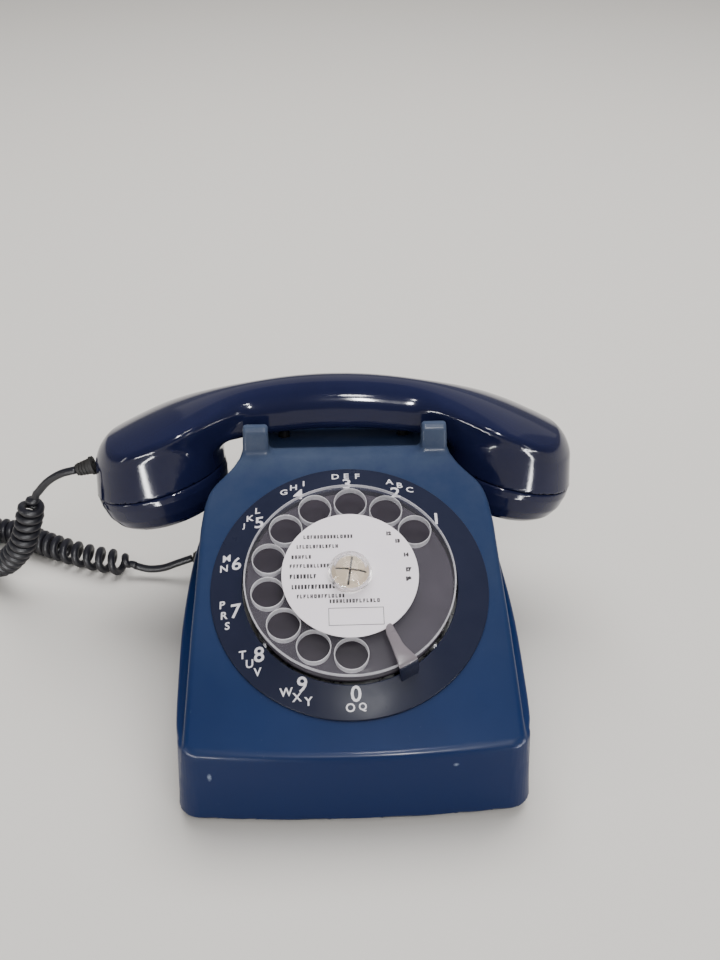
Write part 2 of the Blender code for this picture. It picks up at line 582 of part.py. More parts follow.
def make_ringer():
    plate = block("ringer_frame", (-46, 140, 7.8), (46, 188, 9.8), STEEL, base_frame)
    for side, x in (("left", -GONG_X), ("right", GONG_X)):
        dome = [(2.6, 31.0), (12.0, 30.2), (20.0, 27.0), (24.2, 21.0), (GONG_R, 15.0), (GONG_R - 1.6, 15.0),
                (22.8, 20.6), (19.0, 25.8), (11.6, 28.7), (2.6, 29.4)]
        turned(f"gong_{side}", dome, BRASS, base_frame, (x, GONG_Y, 0), steps=20)
        combine(plate, peg(f"gong_post_{side}", 4.0, 9.0, 29.0, STEEL, base_frame, (x, GONG_Y, 0)), "UNION")
        combine(plate, peg(f"gong_stud_{side}", 2.2, 28.0, 33.0, STEEL, base_frame, (x, GONG_Y, 0), 12), "UNION")
    combine(plate, peg("clapper_pin", 1.6, 9.0, 36.0, STEEL, base_frame, (0, CLAPPER_Y, 0), 12), "UNION")
    clapper = turned("bell_clapper", [(2.1, 26.0), (3.8, 26.0), (3.8, 31.0), (2.1, 31.0)], STEEL, base_frame,
                     (0, CLAPPER_Y, 0), steps=16)
    combine(clapper, bar("clapper_rod", (0, -2.9, 28.5), (0, -CLAPPER_Y + GONG_Y, 28.5), 0.9, STEEL, clapper, 8), "UNION")
    ball = [(0, 25.3), (2.2, 26.2), (3.2, 28.5), (2.2, 30.8), (0, 31.7)]
    combine(clapper, turned("clapper_ball", ball, STEEL, clapper, (0, GONG_Y - CLAPPER_Y, 0), steps=12), "UNION")
    coil = bar("ringer_coil", (-16, COIL_Y, 18.6), (16, COIL_Y, 18.6), 7.8, COPPER, base_frame, 24)
    combine(coil, bar("coil_core_bore", (-20, COIL_Y, 18.6), (20, COIL_Y, 18.6), 3.0, COPPER, base_frame, 12), "DIFFERENCE")
    bar("ringer_core", (-21, COIL_Y, 18.6), (21, COIL_Y, 18.6), 2.6, STEEL, base_frame, 12)


def make_board():
    block("circuit_board", (-52, 82, 11.0), (52, 122, 12.6), BOARD, base_frame)
    block("induction_coil", (-44, 88, 12.9), (-20, 112, 30.0), COPPER, base_frame, 1.2)
    bar("line_capacitor", (-10, 106, 20.4), (22, 106, 20.4), 7.2, GREY, base_frame, 20)
    strip = block("terminal_strip", (28, 90, 12.9), (48, 116, 22.0), BLACK, base_frame, 0.8)
    for k in range(4):
        place = (38, 94.5 + 6 * k, 0)
        combine(strip, peg(f"terminal_{k}", 2.0, 18.0, 24.0, BLACK, base_frame, place, 10), "DIFFERENCE")
    for k, (x, y) in enumerate(((-48, 85), (48, 85), (-48, 119), (48, 119))):
        peg(f"board_spacer_{k}", 2.4, 7.8, 10.7, BRASS, base_frame, (x, y, 0), 12)


# ---------------------------------------------------------------- handset
def handle_section(x):
    """Half depth, underside and top of the handle at x, in the handset's own frame."""
    far = abs(x)
    half = HANDLE_HALF + (CUP_R - 5.0 - HANDLE_HALF) * eased((far - 44.0) / 46.0)
    top = HANDLE_HIGH + 3.5 - (ARCH_R - math.sqrt(ARCH_R ** 2 - far ** 2))
    low = HANDLE_LOW - (INNER_R - math.sqrt(INNER_R ** 2 - far ** 2))
    return half, low, top


def make_handset_body():
    stations = [-112, -104, -94, -82, -70, -58, -46, -34, -22, -10, 2]
    stations = stations + [-x for x in reversed(stations[:-1])]
    rings = []
    for x in stations:
        half, low, top = handle_section(x)
        end = 1.0 - 0.30 * eased((abs(x) - 96.0) / 16.0)
        half = half * end
        shoulder = top - 3.5
        rings.append([(x, -half + 3.0, low), (x, half - 3.0, low), (x, half, low + 3.0), (x, half, shoulder - 2.0),
                      (x, half - 3.0, shoulder + 1.2), (x, half * 0.4, top), (x, -half * 0.4, top),
                      (x, -half + 3.0, shoulder + 1.2), (x, -half, shoulder - 2.0), (x, -half, low + 3.0)])
    body = loft("handset_body", rings, NAVY, handset_frame)
    for label, side in (("left", -1), ("right", 1)):
        make_cup(body, label, side, left_cup if side < 0 else right_cup)
    return body


def make_cup(body, label, side, cup):
    """One flared cup with its pocket, joined to the handle and cut off square to its own axis."""
    steps = 28
    rings = []
    for height, radius in ((-14.0, CUP_R + 1.6), (6.0, CUP_R - 1.0), (16.0, CUP_R - 3.4), (22.0, CUP_R - 7.0),
                           (26.0, CUP_R - 13.0)):
        turn = [2 * math.pi * k / steps for k in range(steps)]
        rings.append([(side * CUP_SPREAD + side * 0.04 * height + radius * math.cos(a), radius * math.sin(a), height)
                      for a in turn])
    shell = loft(f"{label}_cup_shell", rings, NAVY, handset_frame)
    combine(body, shell, "UNION")
    below = block(f"{label}_below", (-57.3, -61.1, -40), (58.4, 59.3, 0), NAVY, cup)
    combine(body, below, "DIFFERENCE")
    combine(body, peg(f"{label}_pocket", 26.5, -5.0, 14.0, NAVY, cup, steps=24), "DIFFERENCE")


def make_cap(name, cup, rings_of_holes):
    """Screwed cap: a dish with sound holes through its flat face."""
    outer = [(CUP_R, -GAP), (CUP_R, -5.0), (CUP_R - 1.4, -12.0), (CUP_R - 4.4, -18.4), (CUP_R - 6.6, -20.0),
             (0, -20.0)]
    inner = [(0, -17.6), (CUP_R - 8.0, -17.6), (CUP_R - 4.4, -10.0), (CUP_R - 3.4, -GAP)]
    cap = turned(name, outer + inner, NAVY, cup, steps=28)
    for ring, (count, radius) in enumerate(rings_of_holes):
        for k in range(count):
            a = 2 * math.pi * (k + 0.37) / count
            place = (radius * math.cos(a), radius * math.sin(a), 0)
            combine(cap, peg(f"{name}_hole_{ring}_{k}", 1.4, -24, -14, NAVY, cup, place, 6), "DIFFERENCE")


def make_handset():
    make_handset_body()
    make_cap("earpiece_cap", right_cup, ((3, 4.0), (5, 9.0)))
    make_cap("mouthpiece_cap", left_cup, ((3, 4.0), (6, 9.5)))
    capsule = [(0, -9.0), (17.0, -9.0), (24.0, -6.5), (24.0, 9.0), (10.0, 11.5), (0, 11.5)]
    turned("receiver_capsule", capsule, STEEL, right_cup, steps=20)
    turned("transmitter_capsule", capsule, STEEL, left_cup, steps=20)
    axis = Vector(RELIEF_AXIS).normalized()
    turn = axis.to_track_quat("Z", "Y").to_euler()
    relief = [(0, 0), (4.8, 0), (4.8, 1.5), (3.2, 9.0), (0, 9.0)]
    turned("handset_cord_relief", relief, RUBBER, handset_frame, RELIEF_START, turn, 16)


# ---------------------------------------------------------------- handset cord
RELIEF_START = (-121.3, 0.0, 6.0)
RELIEF_AXIS = (-0.96, 0.0, -0.28)
# route points in the base's own frame
LEAD_ROUTE = [(-135.6, 159.2, 85.2), (-144.0, 160.0, 82.4), (-152.0, 161.8, 76.4), (-158.4, 163.6, 68.6)]
COIL_ROUTE = [(-159.4, 163.9, 67.2), (-164.5, 164.6, 55.0), (-169.0, 165.2, 41.5), (-175.5, 168.0, 29.0),
              (-186.0, 173.5, 16.5), (-199.5, 182.5, 9.2), (-212.5, 193.5, 8.0), (-216.0, 208.0, 8.0),
              (-205.0, 218.5, 8.0), (-188.5, 214.5, 8.0), (-171.5, 203.5, 8.0), (-153.0, 193.0, 8.0),
              (-134.0, 184.8, 8.0), (-118.0, 180.4, 8.0)]
TAIL_ROUTE = [(-117.5, 180.3, 7.2), (-109.5, 178.8, 5.6), (-101.0, 178.2, 6.6), (-93.5, 178.0, 9.6),
              (-85.1, 178.0, 13.0)]


def smooth_route(points, spacing):
    """Catmull-Rom curve through the points, read off at even spacing."""
    route = [Vector(p) for p in points]
    ends = [2 * route[0] - route[1]] + route + [2 * route[-1] - route[-2]]
    fine = []
    for a, b, c, d in zip(ends, ends[1:], ends[2:], ends[3:]):
        for k in range(20):
            t = k / 20
            fine.append(0.5 * (2 * b + (c - a) * t + (2 * a - 5 * b + 4 * c - d) * t * t
                               + (3 * b - a - 3 * c + d) * t ** 3))
    fine.append(route[-1])
    length = [0.0]
    for p, q in zip(fine, fine[1:]):
        length.append(length[-1] + (q - p).length)
    count = max(2, round(length[-1] / spacing))
    picked = []
    k = 0
    for n in range(count + 1):
        goal = length[-1] * n / count
        while k < len(length) - 2 and length[k + 1] < goal:
            k += 1
        share = (goal - length[k]) / max(length[k + 1] - length[k], 1e-9)
        picked.append(fine[k].lerp(fine[k + 1], share))
    return picked


def tube(name, points, diameter, mat, parent, sides):
    """A round cord along a route, as a bevelled curve with closed ends."""
    curve = bpy.data.curves.new(name, "CURVE")
    curve.dimensions = "3D"
    curve.bevel_depth = diameter / 2 * MM
    curve.bevel_resolution = sides
    curve.render_resolution_u = 0
    curve.use_fill_caps = True
    route = smooth_route(points, 2.5 * diameter)
    spline = curve.splines.new("POLY")
    spline.points.add(len(route) - 1)
    for point, place in zip(spline.points, route):
        point.co = (*(place * MM), 1.0)
    curve.materials.append(mat)
    cord = bpy.data.objects.new(name, curve)
    cord.parent = parent
    bpy.context.collection.objects.link(cord)


def make_cords():
    tube("handset_cord_lead", LEAD_ROUTE, CORD_D, CORD, base_frame, 2)
    tube("handset_cord_coil", COIL_ROUTE, COIL_D, CORD, base_frame, 4)
    tube("handset_cord_tail", TAIL_ROUTE, CORD_D, CORD, base_frame, 2)


make_cover()
make_base()
make_glands()
make_dial_face()
make_finger_stop()
make_dial_works()
make_hook_switch()
make_ringer()
make_board()
make_handset()
make_cords()
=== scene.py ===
"""Looks of the desk telephone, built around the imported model.

Shapes are written in millimetres in the telephone's own frames: the base's (x from its
middle, y from its front face, z from the table), the dial's and the handset's. The larger
mouldings are solid fields, turned into meshes by a surface net, so that every edge is round.
"""
import json
import math

import bmesh
import bpy
import numpy as np
from mathutils import Matrix, Vector


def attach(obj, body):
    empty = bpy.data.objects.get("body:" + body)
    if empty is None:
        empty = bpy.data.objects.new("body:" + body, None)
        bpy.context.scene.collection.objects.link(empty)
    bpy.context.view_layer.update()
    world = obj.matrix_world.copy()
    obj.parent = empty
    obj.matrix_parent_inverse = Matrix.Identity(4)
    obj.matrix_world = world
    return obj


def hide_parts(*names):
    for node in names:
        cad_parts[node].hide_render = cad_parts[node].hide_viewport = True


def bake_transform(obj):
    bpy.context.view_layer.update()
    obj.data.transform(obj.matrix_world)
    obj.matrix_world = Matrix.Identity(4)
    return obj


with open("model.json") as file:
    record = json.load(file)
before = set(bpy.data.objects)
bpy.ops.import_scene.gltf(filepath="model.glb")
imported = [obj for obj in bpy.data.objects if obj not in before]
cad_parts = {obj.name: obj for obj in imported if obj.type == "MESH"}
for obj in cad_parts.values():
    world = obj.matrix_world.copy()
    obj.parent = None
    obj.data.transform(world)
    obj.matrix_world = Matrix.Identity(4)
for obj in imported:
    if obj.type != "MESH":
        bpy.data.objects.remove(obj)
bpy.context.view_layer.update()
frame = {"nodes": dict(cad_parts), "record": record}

MM = 0.001

# ---------------------------------------------------------------- frames, as in the CAD
BASE_SHIFT = Vector((5.0, -103.0, 0.0))
SLOPE = math.radians(25.0)
FRONT_EDGE = 42.9
DIAL_RUN = 78.0
CUP_SPREAD = 87.5
CUP_TILT = math.radians(14.5)
LEAN = math.radians(11.0)
HOLE_PITCH, HOLE_DIA = 37.0, 14.5
HOLE_FIRST, HOLE_STEP = math.radians(36.4), math.radians(25.875)
RING_OUT, RING_IN = 62.4, 48.2
RING_LOW, RING_HIGH = 1.1, 6.0
WHEEL_TOP = 13.5
CARD_R = 30.2
STOP_ANGLE = 299.0             # degrees round the dial


def placed(rotation, origin):
    """A 4 x 4 matrix in millimetres from a rotation and an origin."""
    return Matrix.Translation(Vector(origin)) @ rotation.to_4x4()


BASE = Matrix.Translation(BASE_SHIFT)
DIAL = BASE @ placed(Matrix.Rotation(SLOPE, 3, "X"),
                     (0, DIAL_RUN * math.cos(SLOPE), FRONT_EDGE + DIAL_RUN * math.sin(SLOPE)))
HANDSET = placed(Matrix.Rotation(-LEAN, 3, "X"), (0, 55.0, 82.0))
LEFT_CUP = HANDSET @ placed(Matrix.Rotation(-CUP_TILT, 3, "Y"), (-CUP_SPREAD, 0, 0))
RIGHT_CUP = HANDSET @ placed(Matrix.Rotation(CUP_TILT, 3, "Y"), (CUP_SPREAD, 0, 0))


# ---------------------------------------------------------------- camera
def make_camera():
    """Camera at the photograph's viewing angle: place and directions fitted to points seen in it."""
    place = (Vector((-10.94, -332.83, 402.91)) + BASE_SHIFT) * MM
    right = Vector((0.99924, -0.03891, -0.00068))
    down = Vector((-0.02213, -0.55366, -0.83245))
    ahead = Vector((0.03202, 0.83184, -0.55410))
    camera = bpy.data.objects.new("camera", bpy.data.cameras.new("camera"))
    camera.data.lens = 43.125
    camera.data.sensor_width = 36
    camera.data.clip_start = 0.01
    turn = Matrix((right, -down, -ahead)).transposed()
    camera.matrix_world = Matrix.Translation(place) @ turn.to_4x4()
    bpy.context.scene.collection.objects.link(camera)
    bpy.context.scene.camera = camera


make_camera()


# ---------------------------------------------------------------- field helpers
def both(a, b, r):
    """Intersection of two fields, with the edge between them rounded to radius r."""
    u = np.maximum(r + a, 0)
    v = np.maximum(r + b, 0)
    return np.minimum(-r, np.maximum(a, b)) + np.sqrt(u * u + v * v)


def either(a, b, r):
    """Union of two fields, with the corner between them filled to radius r."""
    u = np.maximum(r - a, 0)
    v = np.maximum(r - b, 0)
    return np.maximum(r, np.minimum(a, b)) - np.sqrt(u * u + v * v)


def polygon(x, y, points):
    """Signed distance to a closed polygon in the plane, negative inside."""
    points = np.asarray(points, float)
    best = np.full(np.broadcast(x, y).shape, 1e9)
    inside = np.zeros(best.shape, bool)
    for (ax, ay), (bx, by) in zip(points, np.roll(points, -1, axis=0)):
        ex, ey = bx - ax, by - ay
        wx, wy = x - ax, y - ay
        t = np.clip((wx * ex + wy * ey) / (ex * ex + ey * ey), 0, 1)
        best = np.minimum(best, (wx - ex * t) ** 2 + (wy - ey * t) ** 2)
        if ey:
            crosses = (y >= min(ay, by)) & (y < max(ay, by))
            inside = inside ^ (crosses & (x < ax + (y - ay) * ex / ey))
    return np.where(inside, -1.0, 1.0) * np.sqrt(best)


def eased(value):
    value = np.clip(value, 0, 1)
    return value * value * (3 - 2 * value)


def smooth_points(points, steps):
    """Catmull-Rom curve through points of any dimension, steps per span."""
    p = np.asarray(points, float)
    p = np.vstack([2 * p[0] - p[1], p, 2 * p[-1] - p[-2]])
    out = []
    for a, b, c, d in zip(p, p[1:], p[2:], p[3:]):
        for k in range(steps):
            t = k / steps
            out.append(0.5 * (2 * b + (c - a) * t + (2 * a - 5 * b + 4 * c - d) * t * t
                              + (3 * b - a - 3 * c + d) * t ** 3))
    out.append(p[-2])
    return np.array(out)


def arc(cx, cy, r, start, end, steps):
    turn = np.radians(np.linspace(start, end, steps + 1))
    return list(zip(cx + r * np.cos(turn), cy + r * np.sin(turn)))


def rounded(points, radii, steps=6):
    """A closed polygon with each corner rounded to its own radius."""
    out = []
    count = len(points)
    for k in range(count):
        here = Vector(points[k])
        before = (Vector(points[k - 1]) - here)
        after = (Vector(points[(k + 1) % count]) - here)
        r = radii[k]
        if r == 0:
            out.append(tuple(here))
            continue
        half = before.angle(after) / 2
        reach = min(r / math.tan(half), before.length * 0.49, after.length * 0.49)
        start = here + before.normalized() * reach
        end = here + after.normalized() * reach
        for n in range(steps + 1):
            t = n / steps
            out.append(tuple(start * (1 - t) ** 2 + here * 2 * t * (1 - t) + end * t * t))
    return out


# ---------------------------------------------------------------- mesh helpers
def new_object(name, mesh, body=None, node=None):
    obj = bpy.data.objects.new(name, mesh)
    bpy.context.scene.collection.objects.link(obj)
    if body:
        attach(obj, body)
    if node:
        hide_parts(node)
    return obj


def from_arrays(name, points, quads, normals=None):
    mesh = bpy.data.meshes.new(name)
    mesh.vertices.add(len(points))
    mesh.vertices.foreach_set("co", np.asarray(points, np.float32).ravel())
    mesh.loops.add(quads.size)
    mesh.loops.foreach_set("vertex_index", quads.astype(np.int32).ravel())
    mesh.polygons.add(len(quads))
    mesh.polygons.foreach_set("loop_start", np.arange(0, quads.size, 4, dtype=np.int32))
    mesh.update(calc_edges=True)
    mesh.validate()
    mesh.shade_smooth()
    if normals is not None:
        mesh.normals_split_custom_set_from_vertices([tuple(n) for n in normals])
    return mesh


def surface_net(name, field, low, high, cell, matrix):
    """Mesh of field(x, y, z) = 0 between two corners, with the field's own normals."""
    axes = [np.arange(a - cell * 1.37, b + cell * 1.8, cell) for a, b in zip(low, high)]
    sizes = [len(a) for a in axes]
    grid = field(axes[0][:, None, None], axes[1][None, :, None], axes[2][None, None, :])
    grid = np.broadcast_to(grid, sizes)
    inside = grid < 0
    corner = [inside[i:sizes[0] - 1 + i, j:sizes[1] - 1 + j, k:sizes[2] - 1 + k]
              for i in (0, 1) for j in (0, 1) for k in (0, 1)]
    total = sum(c.astype(np.int8) for c in corner)
    mixed = (total > 0) & (total < 8)
    number = np.full(mixed.shape, -1, np.int64)
    number[mixed] = np.arange(mixed.sum())
    i, j, k = np.nonzero(mixed)
    weight = np.zeros(len(i))
    spot = np.zeros((len(i), 3))
    for axis in range(3):
        others = [n for n in range(3) if n != axis]
        for u in (0, 1):
            for v in (0, 1):
                at = [i, j, k]
                at[others[0]] = at[others[0]] + u
                at[others[1]] = at[others[1]] + v
                a = grid[at[0], at[1], at[2]]
                to = list(at)
                to[axis] = to[axis] + 1
                b = grid[to[0], to[1], to[2]]
                hit = (a < 0) != (b < 0)
                t = np.where(hit, a / np.where(hit, a - b, 1), 0)
                place = [at[0].astype(float), at[1].astype(float), at[2].astype(float)]
                place[axis] = place[axis] + t
                for n in range(3):
                    spot[:, n] += np.where(hit, place[n], 0)
                weight += hit
    spot = spot / weight[:, None]
    points = np.stack([axes[n][0] + spot[:, n] * cell for n in range(3)], 1)
    home = points.copy()
    step = 0.04
    for _ in range(4):
        value, slope = gradient(field, points, step)
        size = np.maximum((slope ** 2).sum(1), 0.05)
        move = -slope * (value / size)[:, None]
        length = np.maximum(np.sqrt((move ** 2).sum(1)), 1e-9)
        move *= np.minimum(1, 0.5 * cell / length)[:, None]
        points = home + np.clip(points + move - home, -0.8 * cell, 0.8 * cell)
    slope = gradient(field, points, 0.12)[1]
    normals = slope / np.maximum(np.sqrt((slope ** 2).sum(1)), 1e-9)[:, None]
    quads = []
    for axis in range(3):
        u, v = [n for n in range(3) if n != axis]
        a = inside[tuple(slice(0, sizes[n] - 1) if n == axis else slice(1, sizes[n] - 1) for n in range(3))]
        b = inside[tuple(slice(1, sizes[n]) if n == axis else slice(1, sizes[n] - 1) for n in range(3))]
        for sign in (0, 1):
            where = np.nonzero((a & ~b) if sign == 0 else (~a & b))
            base = [where[0].copy(), where[1].copy(), where[2].copy()]
            base[u] = base[u] + 1
            base[v] = base[v] + 1
            ring = []
            for du, dv in ((1, 1), (0, 1), (0, 0), (1, 0)):
                at = list(base)
                at[u] = at[u] - du
                at[v] = at[v] - dv
                ring.append(number[at[0], at[1], at[2]])
            if (sign == 1) != (axis == 1):
                ring = ring[::-1]
            quads.append(np.stack(ring, 1))
    quads = np.concatenate(quads)
    turn = np.array(matrix.to_3x3())
    world = (points @ turn.T + np.array(matrix.translation)) * MM
    return from_arrays(name, world, quads, normals @ turn.T)


def gradient(field, points, step):
    x, y, z = points.T
    value = field(x, y, z)
    slope = np.stack([field(x + step, y, z) - field(x - step, y, z),
                      field(x, y + step, z) - field(x, y - step, z),
                      field(x, y, z + step) - field(x, y, z - step)], 1) / (2 * step)
    return value, slope


def turned(name, profile, matrix, steps=96):
    """Turn a profile of (radius, z) points about z; points at radius 0 become poles."""
    mesh = bmesh.new()
    rows = []
    for radius, z in profile:
        if radius < 1e-6:
            rows.append([mesh.verts.new((0, 0, z))])
            continue
        turn = [2 * math.pi * k / steps for k in range(steps)]
        rows.append([mesh.verts.new((radius * math.cos(a), radius * math.sin(a), z)) for a in turn])
    for row, after in zip(rows, rows[1:] + rows[:1]):
        if len(row) == 1 and len(after) == 1:
            continue
        for k in range(steps):
            m = (k + 1) % steps
            corners = [row[k % len(row)], row[m % len(row)], after[m % len(after)], after[k % len(after)]]
            mesh.faces.new(list(dict.fromkeys(corners)))
    bmesh.ops.recalc_face_normals(mesh, faces=mesh.faces)
    mesh.transform(Matrix.Scale(MM, 4) @ matrix)
    data = bpy.data.meshes.new(name)
    mesh.to_mesh(data)
    mesh.free()
    data.shade_smooth()
    data.set_sharp_from_angle(angle=math.radians(50))
    return data


# ---------------------------------------------------------------- material helpers
def shader_of(name):
    mat = bpy.data.materials.new(name)
    mat.use_nodes = True
    return mat, mat.node_tree.nodes, mat.node_tree.links, mat.node_tree.nodes["Principled BSDF"]


def noise(nodes, links, source, scale, detail=3.0, rough=0.5):
    node = nodes.new("ShaderNodeTexNoise")
    node.inputs["Scale"].default_value = scale
    node.inputs["Detail"].default_value = detail
    node.inputs["Roughness"].default_value = rough
    links.new(source, node.inputs["Vector"])
    return node.outputs["Fac"]


def ramp(nodes, links, source, low, high, a, b):
    node = nodes.new("ShaderNodeMapRange")
    node.inputs["From Min"].default_value = low
    node.inputs["From Max"].default_value = high
    node.inputs["To Min"].default_value = a
    node.inputs["To Max"].default_value = b
    links.new(source, node.inputs["Value"])
    return node.outputs["Result"]


def mixed(nodes, links, factor, a, b):
    node = nodes.new("ShaderNodeMix")
    node.data_type = "RGBA"
    links.new(factor, node.inputs["Factor"])
    for socket, value in ((node.inputs["A"], a), (node.inputs["B"], b)):
        if isinstance(value, tuple):
            socket.default_value = (*value, 1.0)
        else:
            links.new(value, socket)
    return node.outputs["Result"]


def bump(nodes, links, height, shader, strength, distance):
    node = nodes.new("ShaderNodeBump")
    node.inputs["Strength"].default_value = strength
    node.inputs["Distance"].default_value = distance
    links.new(height, node.inputs["Height"])
    links.new(node.outputs["Normal"], shader.inputs["Normal"])


def plastic(name, colour, shade, roughness, grain, grain_scale, gloss=0.5, spread=0.06, ior=1.5):
    """Moulded plastic: slow colour drift, uneven polish and fine grain."""
    mat, nodes, links, shader = shader_of(name)
    place = nodes.new("ShaderNodeTexCoord").outputs["Object"]
    drift = noise(nodes, links, place, 22.0, 4.0, 0.6)
    tone = ramp(nodes, links, drift, 0.35, 0.68, 0, 1)
    links.new(mixed(nodes, links, tone, colour, shade), shader.inputs["Base Color"])
    polish = noise(nodes, links, place, 60.0, 5.0, 0.65)
    sheen = ramp(nodes, links, polish, 0.3, 0.7, roughness - spread, roughness + spread)
    links.new(sheen, shader.inputs["Roughness"])
    shader.inputs["IOR"].default_value = ior
    shader.inputs["Specular IOR Level"].default_value = gloss
    fine = noise(nodes, links, place, grain_scale, 2.0, 0.5)
    bump(nodes, links, fine, shader, grain, 0.0002)
    return mat


# ---------------------------------------------------------------- materials
def clear_plastic(name, tint, roughness, haze):
    """Clear plastic: transmission with a little milky haze and fine grain."""
    mat, nodes, links, shader = shader_of(name)
    place = nodes.new("ShaderNodeTexCoord").outputs["Object"]
    dust = noise(nodes, links, place, 90.0, 6.0, 0.7)
    shader.inputs["Base Color"].default_value = (*tint, 1)
    shader.inputs["IOR"].default_value = 1.47
    clear = ramp(nodes, links, dust, 0.35, 0.75, 1 - haze, 1 - haze * 2.2)
    links.new(clear, shader.inputs["Transmission Weight"])
    links.new(ramp(nodes, links, dust, 0.3, 0.8, roughness, roughness * 2.5), shader.inputs["Roughness"])
    fine = noise(nodes, links, place, 1500.0, 2.0, 0.5)
    bump(nodes, links, fine, shader, 0.03, 0.0002)
    return mat


def hazy_sheet(name, colour, thin, thick, roughness):
    """Thin clear sheet: mostly see-through, with a veil of dust and fine grain."""
    mat, nodes, links, shader = shader_of(name)
    place = nodes.new("ShaderNodeTexCoord").outputs["Object"]
    dust = noise(nodes, links, place, 70.0, 6.0, 0.7)
    shader.inputs["Base Color"].default_value = (*colour, 1)
    links.new(ramp(nodes, links, dust, 0.35, 0.72, thin, thick), shader.inputs["Alpha"])
    sheen = ramp(nodes, links, dust, 0.3, 0.8, roughness * 0.7, roughness * 1.8)
    links.new(sheen, shader.inputs["Roughness"])
    fine = noise(nodes, links, place, 1500.0, 2.0, 0.5)
    bump(nodes, links, fine, shader, 0.03, 0.0002)
    return mat


def plain_print(name, colour):
    """Screen-printed ink, slightly uneven."""
    mat, nodes, links, shader = shader_of(name)
    place = nodes.new("ShaderNodeTexCoord").outputs["Object"]
    wear = noise(nodes, links, place, 700.0, 3.0, 0.6)
    worn = tuple(c * 0.82 for c in colour)
    tone = ramp(nodes, links, wear, 0.3, 0.75, 0, 1)
    links.new(mixed(nodes, links, tone, colour, worn), shader.inputs["Base Color"])
    shader.inputs["Roughness"].default_value = 0.45
    return mat


def metal(name, colour, roughness, scale=400.0):
    mat, nodes, links, shader = shader_of(name)
    place = nodes.new("ShaderNodeTexCoord").outputs["Object"]
    streak = noise(nodes, links, place, scale, 4.0, 0.6)
    shader.inputs["Base Color"].default_value = (*colour, 1)
    shader.inputs["Metallic"].default_value = 1.0
    sheen = ramp(nodes, links, streak, 0.3, 0.7, roughness * 0.7, roughness * 1.3)
    links.new(sheen, shader.inputs["Roughness"])
    bump(nodes, links, streak, shader, 0.08, 0.0002)
    return mat


def near(nodes, links, place, spot, squash, radius):
    """1 at a spot in metres, fading to 0 at a radius, squashed along the axes."""
    scaled = nodes.new("ShaderNodeVectorMath")
    scaled.operation = "MULTIPLY"
    links.new(place, scaled.inputs[0])
    scaled.inputs[1].default_value = squash
    apart = nodes.new("ShaderNodeVectorMath")
    apart.operation = "DISTANCE"
    links.new(scaled.outputs["Vector"], apart.inputs[0])
    apart.inputs[1].default_value = tuple(a * b for a, b in zip(spot, squash))
    return ramp(nodes, links, apart.outputs["Value"], radius * 0.3, radius, 1, 0)


def product(nodes, links, a, b):
    node = nodes.new("ShaderNodeMath")
    node.operation = "MULTIPLY"
    links.new(a, node.inputs[0])
    links.new(b, node.inputs[1])
    return node.outputs["Value"]


def case_blue():
    """Satin case plastic: deep blue, darker on the skirt by painted shade, paler towards the neck and horns
    by painted sheen and, on the horns' tips, also wear, with specks and two scuffs.
    """
    mat, nodes, links, shader = shader_of("case_blue")
    place = nodes.new("ShaderNodeTexCoord").outputs["Object"]
    drift = noise(nodes, links, place, 22.0, 4.0, 0.6)
    tone = ramp(nodes, links, drift, 0.35, 0.68, 0, 1)
    colour = mixed(nodes, links, tone, (0.009, 0.024, 0.086), (0.007, 0.020, 0.075))
    parts = nodes.new("ShaderNodeSeparateXYZ")
    links.new(place, parts.inputs[0])
    # Painted shade: the skirt, below about 40 to 45 mm, is mixed towards a darker, deeper blue.
    skirt = ramp(nodes, links, parts.outputs["Z"], 0.0395, 0.0455, 0.85, 0)
    colour = mixed(nodes, links, skirt, colour, (0.0030, 0.0150, 0.078))
    # Painted sheen: from 50 mm up to the neck the colour pales towards a lighter blue; the noise named dust
    # here only mottles this painted sheen.
    height = ramp(nodes, links, parts.outputs["Z"], 0.050, 0.104, 0, 1)
    dust = ramp(nodes, links, noise(nodes, links, place, 48.0, 6.0, 0.7), 0.30, 0.70, 0.45, 1.0)
    colour = mixed(nodes, links, product(nodes, links, height, dust), colour, (0.032, 0.050, 0.100))
    # Painted sheen, with wear: the horns' tips, from about 100 mm up, are paler still.
    tip_sheen_and_wear = ramp(nodes, links, parts.outputs["Z"], 0.1005, 0.1115, 0, 0.8)
    colour = mixed(nodes, links, product(nodes, links, tip_sheen_and_wear, dust), colour, (0.085, 0.110, 0.165))
    streaks = ramp(nodes, links, noise(nodes, links, place, 700.0, 3.0, 0.6), 0.34, 0.56, 0.1, 0.9)
    for spot, squash, radius in (((-0.0565, -0.0995, 0.031), (2.3, 0.3, 1.0), 0.0026),
                                 ((0.0473, -0.0998, 0.036), (1.0, 0.3, 1.3), 0.0016)):
        scuff = near(nodes, links, place, spot, squash, radius)
        colour = mixed(nodes, links, product(nodes, links, scuff, streaks), colour, (0.28, 0.34, 0.46))
    specks = ramp(nodes, links, noise(nodes, links, place, 330.0, 4.0, 0.7), 0.70, 0.76, 0, 0.5)
    colour = mixed(nodes, links, specks, colour, (0.09, 0.115, 0.17))
    links.new(colour, shader.inputs["Base Color"])
    polish = noise(nodes, links, place, 60.0, 5.0, 0.65)
    links.new(ramp(nodes, links, polish, 0.3, 0.7, 0.32, 0.44), shader.inputs["Roughness"])
    shader.inputs["Specular IOR Level"].default_value = 0.11
    shader.inputs["Coat Weight"].default_value = 0.10
    shader.inputs["Coat Roughness"].default_value = 0.14
    bump(nodes, links, noise(nodes, links, place, 2600.0, 2.0, 0.5), shader, 0.10, 0.0002)
    return mat


